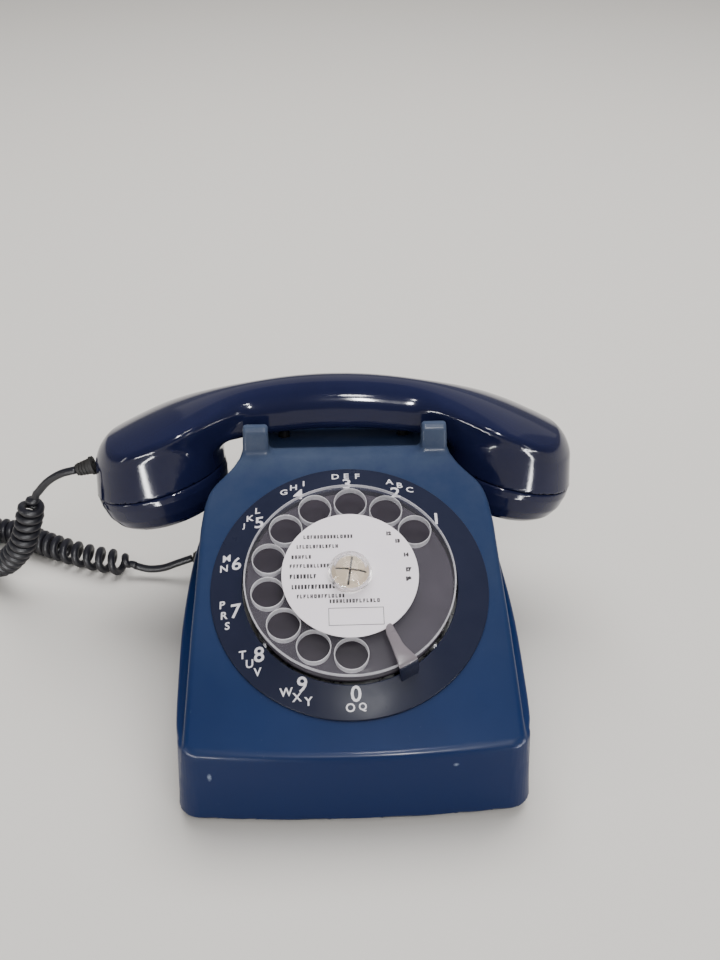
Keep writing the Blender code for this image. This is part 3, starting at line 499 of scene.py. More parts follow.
blue = case_blue()
navy = plastic("handset_navy", (0.010, 0.013, 0.048), (0.008, 0.010, 0.038),
               0.095, 0.015, 900.0, 0.30, 0.025, 1.52)
ring_dark = plastic("ring_dark", (0.019, 0.022, 0.044), (0.014, 0.017, 0.036), 0.32, 0.05, 2200.0, 0.10)
plate_dark = plastic("plate_dark", (0.042, 0.036, 0.048), (0.033, 0.028, 0.038), 0.45, 0.05, 1800.0, 0.25)
wheel_clear = hazy_sheet("wheel_clear", (0.44, 0.42, 0.50), 0.032, 0.064, 0.12)
knob_clear = clear_plastic("knob_clear", (0.97, 0.96, 0.95), 0.02, 0.01)
edge_frost = hazy_sheet("edge_frost", (0.94, 0.93, 0.98), 0.36, 0.74, 0.25)
rim_frost = hazy_sheet("rim_frost", (0.90, 0.89, 0.95), 0.30, 0.48, 0.25)
card_white = plastic("card_white", (0.95, 0.89, 0.96), (0.91, 0.85, 0.92), 0.42, 0.03, 1500.0)
screw_beige = plastic("screw_beige", (0.64, 0.54, 0.42), (0.54, 0.44, 0.32), 0.38, 0.10, 1200.0)
stop_grey = plastic("stop_grey", (0.20, 0.175, 0.20), (0.165, 0.145, 0.165), 0.30, 0.05, 1800.0)
rubber = plastic("rubber_black", (0.014, 0.013, 0.013), (0.020, 0.019, 0.018), 0.72, 0.25, 1500.0)
cord_grey = plastic("cord_grey", (0.013, 0.013, 0.020), (0.009, 0.009, 0.015), 0.42, 0.06, 1300.0)
ink_white = plain_print("ink_white", (0.80, 0.78, 0.84))
ink_grey = plain_print("ink_grey", (0.040, 0.033, 0.040))
dark_ink_and_slot_shade = plain_print("dark_ink_and_slot_shade", (0.030, 0.026, 0.032))
steel = metal("steel", (0.55, 0.55, 0.56), 0.32)
brass = metal("brass", (0.66, 0.48, 0.22), 0.30)
black = plastic("black_plastic", (0.016, 0.016, 0.018), (0.012, 0.012, 0.013), 0.45, 0.12, 1500.0)
copper = metal("copper", (0.52, 0.22, 0.10), 0.38, 1200.0)
board = plastic("board", (0.25, 0.14, 0.05), (0.21, 0.115, 0.04), 0.5, 0.10, 900.0)

FINISHES = {"blue_case": blue, "navy_handset": navy, "dark_ring": ring_dark, "clear_plastic": wheel_clear,
            "white_card": card_white, "beige_screw": screw_beige, "grey_plastic": stop_grey,
            "plated_steel": steel, "brass": brass, "black_rubber": rubber, "black_plastic": black,
            "copper_winding": copper, "circuit_board": board, "grey_cord": cord_grey}
# Painted shade: the hook plungers take black plastic in place of their own finish, to darken the gap under
# the handset.
for part in frame["record"]["subparts"]:
    node = frame["nodes"][part["node"]]
    for place in node.material_slots:
        place.material = black if "plunger" in part["node"] else FINISHES[part["material_slot"]]


def turned_piece(name, profile, matrix, steps, mat, body, node):
    """A turned shape with its material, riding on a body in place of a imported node."""
    piece = new_object(name, turned(name, profile, matrix, steps), body, node)
    piece.data.materials.append(mat)
    return piece


# ---------------------------------------------------------------- case
SKIRT_TOP, FOOT_HEIGHT, WALL = 44.0, 5.0, 2.95
FLARE = 0.028
HORNS = (37.0, 49.0)
right_side = smooth_points([(74.75, 14.2), (76.3, 24.0), (77.8, 50.0), (79.0, 80.0), (79.0, 105.0),
                            (78.0, 135.0), (76.2, 155.0), (73.4, 176.0), (70.6, 190.0)], 6)
FRONT_BOW = [(x, 3.1 * (x / 64.8) ** 2) for x in np.linspace(0, 64.8, 9)]
SKIRT = (FRONT_BOW + arc(64.8, 13.1, 10, -84, -4, 8) + [tuple(p) for p in right_side]
         + arc(56, 190, 14, 14, 90, 8))
SKIRT = [(-x, y) for x, y in reversed(SKIRT[1:])] + SKIRT
half_curve = smooth_points([(0, 72.0), (11.8, 71.8), (50.8, 70.5), (70.7, 69.5), (92, 68.5), (100.6, 68.1),
                            (107, 67.4), (113, 66.4), (118, 64.9), (122, 62.4), (126, 58.6), (131, 54.3),
                            (135, 51.9), (139.6, 50.1), (145, 49.1), (165, 49.0), (214, 49.0)], 8)


def slope_height(y):
    return FRONT_EDGE + y * math.tan(SLOPE)


PROFILE = rounded(
    [(230, -20), (230, 44.0), (203.6, 44.0), (197.4, 110.6), (188.0, 110.6), (183.4, 96.9), (145.6, 102.6),
     (142.6, 106.6), (134.2, slope_height(134.2)), (-20, slope_height(-20)), (-20, -20)],
    [0, 0, 0, 4.0, 3.0, 5.0, 4.0, 3.6, 12.0, 0, 0])


def case_outer(x, y, z):
    across = np.abs(x)
    plan = polygon(x / (1 + FLARE * np.clip((SKIRT_TOP - z) / (SKIRT_TOP - FOOT_HEIGHT), 0, 1.1)), y, SKIRT)
    side = polygon(y, z, PROFILE)
    skirt = both(plan, z - SKIRT_TOP, 1.6)
    edge = np.minimum(slope_height(y), 106.4)
    lean = 0.114 - 0.114 * eased((y - 110) / 33)
    wall = (across - np.interp(y, half_curve[:, 0], half_curve[:, 1]) + (z - edge) * lean) * 0.99
    upper = np.maximum(both(wall, y - 203.6, 6.0), plan)
    solid = both(either(skirt, upper, 1.2), side, 2.6)
    return solid


def horn_field(x, y, z):
    across = np.abs(x)
    front = rounded([(136.0, 100), (136.9, 107.0), (139.4, 117.0), (141.4, 119.2), (144.0, 119.0),
                     (145.2, 116.8), (145.6, 98)], [0, 2.0, 1.6, 1.6, 1.6, 1.0, 0], 3)
    rear = rounded([(187.4, 98), (187.4, 111.2), (188.6, 112.8), (193.2, 112.8), (195.2, 111.2),
                    (197.0, 106), (197.6, 98)], [0, 1.0, 1.6, 1.6, 1.6, 2.0, 0], 3)
    saddle = rounded([(143.0, 92), (143.0, 104.2), (150, 103.4), (180, 98.4), (188.5, 98.0), (188.5, 92)],
                     [0, 1, 3, 3, 1, 0], 3)
    middle = 0.5 * (HORNS[0] + HORNS[1]) + (119 - z) * 0.012
    width = np.abs(across - middle) - 0.5 * (HORNS[1] - HORNS[0]) - (119 - z) * 0.022
    shapes = np.minimum(np.minimum(polygon(y, z, front), polygon(y, z, rear)), polygon(y, z, saddle))
    return both(shapes, width, 1.5)


def round_hole(x, y, radius):
    return np.sqrt(x * x + y * y) - radius


def case_field(x, y, z):
    outer = case_outer(x, y, z)
    hollow = outer + WALL
    solid = both(either(outer, horn_field(x, y, z), 2.2), FOOT_HEIGHT + 0.1 - z, 0.8)
    solid = np.maximum(solid, -hollow)
    for side in (-1, 1):
        bore = np.maximum(round_hole(x - side * 30, y - 165, 3.1), 80 - z)
        solid = np.maximum(solid, -bore)
    back = DIAL_RUN * math.cos(SLOPE)
    rise = FRONT_EDGE + DIAL_RUN * math.sin(SLOPE)
    along = (y - back) * math.cos(SLOPE) + (z - rise) * math.sin(SLOPE)
    height = -(y - back) * math.sin(SLOPE) + (z - rise) * math.cos(SLOPE)
    opening = np.maximum(round_hole(x, along, 57.4), -14 - height)
    solid = np.maximum(solid, -opening)
    gland = np.maximum(round_hole(y - 178, z - 13, 4.4), x + 55)
    line = np.maximum(round_hole(x - 30, z - 13, 4.4), 188 - y)
    return np.maximum(solid, -np.minimum(gland, line))


CASE_CELL = 1.2
case_net = surface_net("case", case_field, (-82.5, -1, 4), (82.5, 205, 120.5), CASE_CELL, BASE)
case = new_object("case", case_net, "base", "case_cover")
case.data.materials.append(blue)


# ---------------------------------------------------------------- handset
def handset_field(a, b, c):
    far = np.abs(a)
    half = 14.6 + 4.5 * eased((far - 34) / 50)
    low = 27.0 - (262 - np.sqrt(262.0 ** 2 - np.minimum(far, 200) ** 2))
    crest = 50.9 - (235 - np.sqrt(235.0 ** 2 - np.minimum(far, 200) ** 2))
    drop = 4.4 + 4.0 * (far / 100) ** 2
    spread = 14.6 + 18.5 * eased((far - 34) / 58)
    slope = np.sqrt(1 + (far / 235) ** 2)
    crown = (c - crest + drop * (b / spread) ** 2) / slope
    grip = both(np.abs(b) - half, (low - c) / slope, 5.0)
    grip = both(grip, far - 100, 4.0)
    cup = round_hole(far - CUP_SPREAD, b, 32.5 - 0.035 * c)
    fillet = 7.0 + 13.0 * eased((c - low) / 18)
    body = either(grip, cup, fillet)
    crease = 8.0 - 5.0 * eased((far - 26) / 46) + 5.6 * eased((far - 98) / 18)
    body = both(body, crown, crease)
    tilt = (far - CUP_SPREAD) * math.sin(CUP_TILT) + c * math.cos(CUP_TILT)
    body = both(body, 0.15 - tilt, 0.7)
    across = (far - CUP_SPREAD) * math.cos(CUP_TILT) - c * math.sin(CUP_TILT)
    pocket = np.maximum(round_hole(across, b, 26.5), tilt - 14)
    return np.maximum(body, -pocket)


HANDSET_CELL = 1.35
handset_net = surface_net("handset_shell", handset_field, (-121, -34, -8.5), (121, 34, 52),
                          HANDSET_CELL, HANDSET)
handset = new_object("handset_shell", handset_net, "handset", "handset_body")
handset.data.materials.append(navy)

CAP = rounded([(24.5, 0), (33.0, 0), (33.0, -4.0), (31.6, -10.5), (28.6, -15.6), (24.0, -19.0), (10.0, -20.0),
               (-1.0, -20.2), (-1.0, -17.6), (23.0, -16.6), (27.6, -9.0)],
              [1, 0.9, 3, 6, 5, 6, 6, 0, 0, 3, 3], 4)


def cap_field(holes):
    def field(x, y, z):
        radius = np.sqrt((x / 1.012) ** 2 + (y * 1.012) ** 2)
        solid = polygon(radius, z, CAP)
        for count, ring in holes:
            for k in range(count):
                turn = 2 * math.pi * (k + 0.37) / count
                hole = round_hole(x - ring * math.cos(turn), y - ring * math.sin(turn), 1.35)
                solid = both(solid, -np.maximum(hole, z + 14), 0.5)
        return solid
    return field


CAP_CELL = 0.95
for label, cup, rings in (("earpiece", RIGHT_CUP, ((3, 4.0), (8, 9.5))),
                          ("mouthpiece", LEFT_CUP, ((3, 4.0), (9, 10.0)))):
    net = surface_net(label, cap_field(rings), (-34, -34, -20.6), (34, 34, 0.2), CAP_CELL, cup)
    piece = new_object(f"{label}_dome", net, "handset", f"{label}_cap")
    piece.data.materials.append(navy)


# ---------------------------------------------------------------- dial
def ring_height(radius):
    """Height of the number ring's conical face over the slope, at a radius from the dial's axis."""
    share = (RING_OUT - radius) / (RING_OUT - RING_IN - 0.3)
    return RING_LOW + (RING_HIGH - RING_LOW) * share


ring_profile = rounded([(RING_OUT + 0.1, 0.25), (RING_OUT, RING_LOW), (RING_IN + 0.3, RING_HIGH),
                        (RING_IN - 0.1, RING_HIGH - 0.4), (RING_IN, 1.6), (55.0, 0.2), (55.0, -3.2),
                        (56.9, -3.2), (56.9, 0.25)],
                       [0.15, 0.5, 0.5, 0.4, 0, 0, 0, 0, 0], 4)
turned_piece("number_band", ring_profile, DIAL, 160, ring_dark, "base", "number_ring")

plate_profile = rounded([(4.9, 3.6), (46.3, 3.6), (46.3, 5.0), (45.8, 5.4), (4.9, 5.4)],
                        [0, 0, 0.2, 0.3, 0], 3)
turned_piece("under_plate", plate_profile, DIAL, 128, plate_dark, "base", "dial_plate")

WHEEL = rounded([(3.6, 12.6), (14.0, 12.6), (14.5, WHEEL_TOP - 0.3), (44.8, WHEEL_TOP),
                 (46.9, WHEEL_TOP - 0.9), (46.9, WHEEL_TOP - 2.5), (45.8, WHEEL_TOP - 2.9),
                 (8.0, 10.6), (8.0, 6.2), (3.6, 6.2)],
                [0, 0.2, 0.2, 1.0, 0.6, 0.6, 0.4, 0.6, 0.3, 0], 5)


def wheel_field(x, y, z):
    solid = polygon(np.sqrt(x * x + y * y), z, WHEEL)
    for k in range(10):
        turn = HOLE_FIRST + k * HOLE_STEP
        px, py = HOLE_PITCH * math.cos(turn), HOLE_PITCH * math.sin(turn)
        hole = round_hole(x - px, y - py, HOLE_DIA / 2)
        solid = either(solid, both(np.abs(hole - 0.55) - 0.55, np.abs(z - 11.2) - 2.3, 0.4), 0.3)
        solid = both(solid, -hole, 0.5)
    return solid


WHEEL_CELL = 0.62
wheel_net = surface_net("clear_wheel", wheel_field, (-47.2, -47.2, 6), (47.2, 47.2, 13.8), WHEEL_CELL, DIAL)
wheel = new_object("clear_wheel", wheel_net, "dial", "finger_wheel")
wheel.data.materials.append(wheel_clear)

lips = bmesh.new()
lip_profile = rounded([(7.14, 9.4), (7.42, 9.2), (7.55, 13.0), (7.14, 13.2)], [0.05, 0, 0.12, 0.1], 3)
for k in range(10):
    turn = HOLE_FIRST + k * HOLE_STEP
    spot = DIAL @ Matrix.Translation((HOLE_PITCH * math.cos(turn), HOLE_PITCH * math.sin(turn), 0))
    lips.from_mesh(turned("hole_lip", lip_profile, spot, 48))
lip_mesh = bpy.data.meshes.new("hole_lips")
lips.to_mesh(lip_mesh)
lips.free()
lip_mesh.shade_smooth()
lip_mesh.set_sharp_from_angle(angle=math.radians(50))
hole_lips = new_object("hole_lips", lip_mesh, "dial", "finger_wheel")
hole_lips.data.materials.append(edge_frost)

rim_profile = rounded([(46.3, 11.1), (46.95, 11.2), (46.95, 12.5), (46.3, 12.85)], [0, 0.2, 0.2, 0], 3)
turned_piece("wheel_rim", rim_profile, DIAL, 160, rim_frost, "dial", "finger_wheel")

CARD_LOW, CARD_TOP = WHEEL_TOP + 0.3, WHEEL_TOP + 0.8
card_profile = rounded([(5.6, CARD_LOW), (CARD_R, CARD_LOW), (CARD_R, CARD_TOP), (5.6, CARD_TOP)],
                       [0, 0.1, 0.2, 0], 3)
turned_piece("round_card", card_profile, DIAL, 128, card_white, "dial", "number_card")

knob_profile = rounded([(8.4, 14.6), (9.7, 14.6), (9.8, 16.3), (9.1, 18.7), (7.0, 20.7), (3.4, 21.7),
                        (0, 21.9), (0, 20.9), (3.2, 20.6), (6.2, 19.5), (8.2, 17.6)],
                       [0.2, 0.5, 1.5, 3, 3, 3, 0, 0, 2, 2, 1], 5)
turned_piece("clear_knob", knob_profile, DIAL, 64, knob_clear, "dial", "centre_knob")

SCREW = rounded([(0, 4.2), (2.2, 4.2), (2.2, 14.4), (7.8, 14.4), (7.9, 16.2), (6.4, 17.7), (3.4, 18.5),
                 (0, 18.7)], [0, 0, 0, 0, 0.5, 1.5, 2, 0], 4)
SLOT_TURNS = (math.radians(-9), math.radians(81))      # the two slots of the screw's cross
SLOT_HALF = 0.42


def screw_field(x, y, z):
    solid = polygon(np.sqrt(x * x + y * y), z, SCREW)
    for turn in SLOT_TURNS:
        along = x * math.cos(turn) + y * math.sin(turn)
        across = -x * math.sin(turn) + y * math.cos(turn)
        slot = np.maximum(np.maximum(np.abs(across) - SLOT_HALF, np.abs(along) - 6.7), 16.9 - z)
        solid = both(solid, -slot, 0.12)
    return solid


SCREW_CELL = 0.3
screw_net = surface_net("cross_screw", screw_field, (-8.2, -8.2, 4), (8.2, 8.2, 19.2), SCREW_CELL, DIAL)
screw = new_object("cross_screw", screw_net, "dial", "knob_screw")
screw.data.materials.append(screw_beige)
screw.data.materials.append(dark_ink_and_slot_shade)
# Painted shade: the faces inside the cross's two slots take the dark ink.
for face in screw.data.polygons:
    centre = DIAL.inverted() @ (face.center / MM)
    for turn in SLOT_TURNS:
        along = abs(centre.x * math.cos(turn) + centre.y * math.sin(turn))
        across = abs(centre.y * math.cos(turn) - centre.x * math.sin(turn))
        if across < SLOT_HALF and along < 6.8 and centre.z > 15:
            face.material_index = 1


def make_stop():
    """Finger stop: a blade that climbs from the ring and reaches in over the wheel."""
    spine = smooth_points([(50.8, -0.6, 4.6, 8.6), (50.3, -0.6, 8.0, 8.9), (49.6, -0.6, 12.4, 9.1),
                           (48.4, -0.6, 14.9, 9.0), (45.8, -0.8, 15.9, 7.6), (41.0, -1.0, 16.2, 5.4),
                           (37.0, -0.3, 16.2, 4.8), (33.0, 0.6, 16.0, 4.3), (30.6, 2.0, 15.8, 3.2),
                           (29.8, 2.6, 15.7, 1.8)], 6)
    rings = []
    for k, (radius, swing, height, width) in enumerate(spine):
        ahead = spine[min(k + 1, len(spine) - 1)] - spine[max(k - 1, 0)]
        along = Vector((ahead[0], ahead[2])).normalized()
        lift = Vector((along.y, -along.x)) * -1.0
        turn = math.radians(STOP_ANGLE + swing)
        out = Vector((math.cos(turn), math.sin(turn), 0))
        side = Vector((-math.sin(turn), math.cos(turn), 0))
        middle = out * radius + Vector((0, 0, height))
        up = out * lift.x + Vector((0, 0, lift.y))
        half = width / 2
        section = rounded([(-half, -0.6), (half, -0.6), (half, 0.6), (-half, 0.6)], [0.5] * 4, 3)
        rings.append([middle + side * u + up * v for u, v in section])
    mesh = bmesh.new()
    rows = [[mesh.verts.new(DIAL @ p * MM) for p in ring] for ring in rings]
    count = len(rows[0])
    for low, high in zip(rows, rows[1:]):
        for n in range(count):
            m = (n + 1) % count
            mesh.faces.new((low[n], low[m], high[m], high[n]))
    mesh.faces.new(rows[0])
    mesh.faces.new(rows[-1])
    bmesh.ops.recalc_face_normals(mesh, faces=mesh.faces)
    data = bpy.data.meshes.new("stop_blade")
    mesh.to_mesh(data)
    mesh.free()
    data.shade_smooth()
    data.set_sharp_from_angle(angle=math.radians(50))
    data.materials.append(stop_grey)
    data.materials.append(ring_dark)
    level = DIAL.inverted()
    # Painted shade: faces below 15 mm over the dial's plane, on the foot that bends down over the rim, take
    # the ring's dark plastic.
    for face in data.polygons:
        centre = level @ (face.center / MM)
        face.material_index = 1 if centre.z < 15.0 else 0
    return new_object("stop_blade", data, "base", "finger_stop")


make_stop()


# ---------------------------------------------------------------- printing
def glyphs(text, size, heavy):
    """Outline mesh of a text in Blender's own font, centred, as vertices and faces in millimetres."""
    curve = bpy.data.curves.new("glyphs", "FONT")
    curve.body = text
    curve.size = 1.0
    curve.offset = heavy
    curve.resolution_u = 3
    holder = bpy.data.objects.new("glyphs", curve)
    bpy.context.scene.collection.objects.link(holder)
    bpy.context.view_layer.update()
    mesh = bpy.data.meshes.new_from_object(holder.evaluated_get(bpy.context.evaluated_depsgraph_get()))
    points = np.array([v.co[:2] for v in mesh.vertices])
    faces = [tuple(f.vertices) for f in mesh.polygons]
    bpy.data.objects.remove(holder)
    bpy.data.curves.remove(curve)
    bpy.data.meshes.remove(mesh)
    low, high = points.min(0), points.max(0)
    points = (points - (low + high) / 2) * size / max(high[1] - low[1], 1e-6)
    return points, faces


class Print:
    """Collects flat marks, lays them on a surface and gives them a small thickness."""

    def __init__(self, height, lift=0.03, shift=0.0):
        self.height, self.lift, self.shift = height, lift, shift
        self.points, self.faces = [], []

    def add(self, points, faces):
        start = len(self.points)
        for x, y in points:
            self.points.append((x + self.shift, y, self.height(math.hypot(x, y)) + self.lift))
        self.faces += [tuple(start + n for n in face) for face in faces]

    def text(self, word, x, y, size, heavy=0.0, stretch=1.0):
        points, faces = glyphs(word, size, heavy)
        self.add([(x + u * stretch, y + v) for u, v in points], faces)

    def bar(self, x0, y0, x1, y1):
        self.add([(x0, y0), (x1, y0), (x1, y1), (x0, y1)], [(0, 1, 2, 3)])

    def build(self, name, mat, slot, body):
        mesh = bmesh.new()
        verts = [mesh.verts.new(DIAL @ Vector(p) * MM) for p in self.points]
        for face in self.faces:
            mesh.faces.new([verts[n] for n in face])
        up = (DIAL.to_3x3() @ Vector((0, 0, 1)))
        for face in mesh.faces:
            face.normal_update()
            if face.normal.dot(up) < 0:
                face.normal_flip()
        data = bpy.data.meshes.new(name)
        solid = bmesh.ops.extrude_face_region(mesh, geom=mesh.faces[:])
        top = [item for item in solid["geom"] if isinstance(item, bmesh.types.BMVert)]
        bmesh.ops.translate(mesh, vec=up * 0.06 * MM, verts=top)
        bmesh.ops.recalc_face_normals(mesh, faces=mesh.faces)
        mesh.to_mesh(data)
        mesh.free()
        data.materials.append(mat)
        return new_object(name, data, body)


# One group of letters under each numeral, spaced like the finger holes.
GROUPS = ["", "ABC", "DEF", "GHI", "JKL", "MN", "PRS", "TUV", "WXY", "OQ"]
PRINT_LAG = math.radians(1.8)      # the numerals sit this far past the middle of their holes
LETTER_STEP = math.radians(5.2)
NUMERAL_R, LETTER_R = 51.9, 57.3
LAST_UPPER = 4                     # up to here the letters run clockwise, and after it the other way

dial_print = Print(ring_height)
for index, numeral in enumerate("1234567890"):
    middle = HOLE_FIRST + PRINT_LAG + HOLE_STEP * index
    dial_print.text(numeral, NUMERAL_R * math.cos(middle), NUMERAL_R * math.sin(middle), 6.5, 0.014, 1.08)
    step = -LETTER_STEP if index <= LAST_UPPER else LETTER_STEP
    letters = GROUPS[index]
    for place, letter in enumerate(letters):
        turn = middle + step * (place - (len(letters) - 1) / 2)
        dial_print.text(letter, LETTER_R * math.cos(turn), LETTER_R * math.sin(turn), 3.5, 0.02, 1.08)
dial_print.build("dial_print", ink_white, "white_card", "base")


def card_top(radius):
    """Height of the flat card over the slope, the same at every radius."""
    return CARD_TOP


rng = np.random.default_rng(7)
# Rows of print, as height, left end and right end on the card.
GREEKED = [(18.7, -21.3, 0.7), (13.9, -24.4, -4.9), (8.8, -26.7, -17.6), (4.3, -27.5, -10.0),
           (-10.5, -24.4, -3.8), (-13.1, -10.3, 11.8)]
BOLD = [(-0.8, -27.5, -15.1), (-5.9, -26.7, -8.2)]
light_print, dark_print = Print(card_top, 0.01, 1.0), Print(card_top, 0.01, 1.0)


def greek_row(target, y, x0, x1, tall, thick):
    """A row of small print that spells nothing: random stroke shapes like F, H, L and a box."""
    x = x0
    while x < x1 - 0.6:
        wide = rng.uniform(0.75, 1.15)
        kind = rng.integers(0, 4)
        top, bottom = y + tall / 2, y - tall / 2
        target.bar(x, bottom, x + thick, top)
        if kind == 0:
            target.bar(x, top - thick, x + wide, top)
            target.bar(x, y - thick / 2, x + wide * 0.8, y + thick / 2)
        elif kind == 1:
            target.bar(x + wide - thick, bottom, x + wide, top)
            target.bar(x, y - thick / 2, x + wide, y + thick / 2)
        elif kind == 2:
            target.bar(x, bottom, x + wide, bottom + thick)
        else:
            target.bar(x, top - thick, x + wide, top)
            target.bar(x, bottom, x + wide, bottom + thick)
            target.bar(x + wide - thick, bottom, x + wide, top)
        x += wide + 0.55


for y, x0, x1 in GREEKED:
    greek_row(light_print, y, x0, x1, 1.8, 0.46)
for y, x0, x1 in BOLD:
    greek_row(dark_print, y, x0, x1, 2.1, 0.58)
for word, x, y in (("12", 16.9, 19.7), ("13", 20.7, 15.8), ("14", 24.2, 8.8)):
    light_print.text(word, x, y, 2.0, 0.09)
for word, x, y in (("17", 24.9, 1.4), ("18", 24.6, -3.1)):
    dark_print.text(word, x, y, 2.2, 0.12)
BOX_LEFT, BOX_RIGHT, BOX_LOW, BOX_HIGH, BOX_LINE = -10.9, 13.0, -24.6, -16.3, 0.25
light_print.bar(BOX_LEFT, BOX_LOW, BOX_RIGHT, BOX_LOW + BOX_LINE)
light_print.bar(BOX_LEFT, BOX_HIGH - BOX_LINE, BOX_RIGHT, BOX_HIGH)
light_print.bar(BOX_LEFT, BOX_LOW, BOX_LEFT + BOX_LINE, BOX_HIGH)
light_print.bar(BOX_RIGHT - BOX_LINE, BOX_LOW, BOX_RIGHT, BOX_HIGH)
light_print.build("card_print", ink_grey, "white_card", "dial")
dark_print.build("card_print_bold", dark_ink_and_slot_shade, "white_card", "dial")


# ---------------------------------------------------------------- handset cord
WIRE_R, COIL_LINE_R = 2.05, 5.3
LEAD_ROUTE = [(-135.6, 159.2, 85.2), (-144.0, 160.0, 82.4), (-152.0, 161.8, 76.4), (-158.4, 163.6, 68.6)]
COIL_ROUTE = [(-159.4, 163.9, 67.2), (-164.5, 164.6, 55.0), (-169.0, 165.2, 41.5), (-175.5, 168.0, 29.0),
              (-186.0, 173.5, 16.5), (-199.5, 182.5, 9.2), (-212.5, 193.5, 7.8), (-215.0, 207.0, 7.8),
              (-204.5, 216.0, 7.8), (-188.5, 212.5, 7.8), (-171.5, 202.5, 7.8), (-153.0, 192.5, 7.8),
              (-134.0, 184.8, 7.8), (-118.0, 180.4, 7.8)]
TAIL_ROUTE = [(-117.5, 180.3, 7.2), (-109.5, 178.8, 5.6), (-101.0, 178.2, 6.6), (-93.5, 178.0, 9.6),
              (-84.6, 178.0, 13.0)]


def run_length(points):
    return np.concatenate([[0], np.cumsum(np.linalg.norm(np.diff(points, axis=0), axis=1))])


def make_cord_path():
    """Centreline of the wire: a straight lead, a helix round the coil's route, and the tail."""
    axis = smooth_points(LEAD_ROUTE + COIL_ROUTE + TAIL_ROUTE, 16)
    length = run_length(axis)
    start = length[16 * len(LEAD_ROUTE)] + 1.0
    end = length[16 * (len(LEAD_ROUTE) + len(COIL_ROUTE) - 1)] - 1.0
    tangents = np.gradient(axis, axis=0)
    tangents /= np.linalg.norm(tangents, axis=1)[:, None]
    normal = np.cross(tangents[0], (0, 1, 0))
    normals = []
    for tangent in tangents:
        normal = normal - tangent * normal.dot(tangent)
        normal = normal / np.linalg.norm(normal)
        normals.append(normal)
    normals = np.array(normals)
    out = []
    s, phase = 0.0, 0.0
    while s < length[-1]:
        inside = eased(min((s - start) / 9.0, (end - s) / 7.0))
        loose = eased((s - (end - 60)) / 25.0)
        pitch = 4.5 + 3.0 * loose + 0.9 * eased(1 - (s - start) / 60.0)
        centre = np.array([np.interp(s, length, axis[:, n]) for n in range(3)])
        side = np.array([np.interp(s, length, normals[:, n]) for n in range(3)])
        along = np.array([np.interp(s, length, tangents[:, n]) for n in range(3)])
        along /= np.linalg.norm(along)
        side = side - along * side.dot(along)
        side /= np.linalg.norm(side)
        across = np.cross(along, side)
        radius = COIL_LINE_R * inside
        out.append(centre + radius * (math.cos(phase) * side + math.sin(phase) * across))
        coiled = start - 2 < s < end + 2
        step = pitch / 15 if coiled else 1.6
        if coiled:
            phase += 2 * math.pi * step / pitch
        s += step
    out.append(axis[-1])
    return np.array(out) + np.array(BASE_SHIFT)


def tube(name, path, radius, sides):
    """A round tube along a path, closed at both ends."""
    tangents = np.gradient(path, axis=0)
    tangents /= np.linalg.norm(tangents, axis=1)[:, None]
    normal = np.cross(tangents[0], (0, 1, 0))
    rings = []
    for point, tangent in zip(path, tangents):
        normal = normal - tangent * normal.dot(tangent)
        normal = normal / np.linalg.norm(normal)
        across = np.cross(tangent, normal)
        turn = np.linspace(0, 2 * math.pi, sides, endpoint=False)
        rings.append(point + radius * (np.cos(turn)[:, None] * normal + np.sin(turn)[:, None] * across))
    points = np.concatenate(rings) * MM
    count = len(path)
    i, j = np.meshgrid(np.arange(count - 1), np.arange(sides), indexing="ij")
    k = (j + 1) % sides
    quads = np.stack([i * sides + j, i * sides + k, (i + 1) * sides + k, (i + 1) * sides + j], -1)
    faces = [tuple(int(n) for n in f) for f in quads.reshape(-1, 4)]
    faces += [tuple(reversed(range(sides))), tuple((count - 1) * sides + n for n in range(sides))]
    mesh = bpy.data.meshes.new(name)
    mesh.from_pydata([tuple(p) for p in points], [], faces)
    solid = bmesh.new()
    solid.from_mesh(mesh)
    bmesh.ops.recalc_face_normals(solid, faces=solid.faces)
    solid.to_mesh(mesh)
    solid.free()
    mesh.shade_smooth()
    return mesh


relief_turn = Vector((-0.96, 0, -0.28)).to_track_quat("Z", "Y").to_matrix()
RELIEF = HANDSET @ placed(relief_turn, (-121.3, 0, 6))
relief_profile = [(2.0, 0), (4.8, 0), (4.8, 1.4), (3.9, 1.8)]
for k in range(4):
    slim, along = 0.2 * k, 1.6 * k
    relief_profile += [(4.1 - slim, 2.4 + along), (4.0 - slim, 3.2 + along), (3.4 - slim, 3.4 + along),
                       (3.4 - slim, 3.9 + along)]
relief_profile += [(3.1, 9.0), (2.05, 9.0)]
relief = turned_piece("cord_relief", relief_profile, RELIEF, 40, rubber,
                      "handset", "handset_cord_relief")

GLAND = BASE @ placed(Matrix.Rotation(math.pi / 2, 3, "Y"), (-69.9, 178, 13))
gland_profile = [(2.1, 3.0), (3.9, 3.0), (3.9, -5.9), (6.0, -6.1), (6.0, -6.9), (5.4, -7.7), (4.6, -8.1)]
for k in range(3):
    slim, along = 0.3 * k, 1.8 * k
    gland_profile += [(4.5 - slim, -8.4 - along), (4.4 - slim, -9.3 - along), (3.8 - slim, -9.5 - along),
                      (3.8 - slim, -9.9 - along)]
gland_profile += [(3.2, -13.9), (2.2, -14.0)]
gland = turned_piece("cord_gland", gland_profile, GLAND, 40, rubber,
                     "base", "handset_cord_gland")

cord_path = make_cord_path()
cord = new_object("curly_cord", tube("curly_cord", cord_path, WIRE_R, 10))
cord.data.materials.append(cord_grey)
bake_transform(cord)
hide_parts("handset_cord_lead", "handset_cord_coil", "handset_cord_tail")

# ---------------------------------------------------------------- feet
foot_profile = rounded([(0, 0), (8.6, 0), (9.3, 1.2), (8.7, 5.0), (0, 5.0)], [0, 0.5, 0.6, 0.2, 0], 3)
for end, y in (("front", 24.0), ("rear", 184.0)):
    for side, x in (("left", -54.0), ("right", 54.0)):
        spot = BASE @ Matrix.Translation((x, y, 0))
        pad = turned("foot_pad", foot_profile, spot, 48)
        foot = new_object(f"foot_{end}_{side}_pad", pad, "base", f"foot_{end}_{side}")
        foot.data.materials.append(rubber)

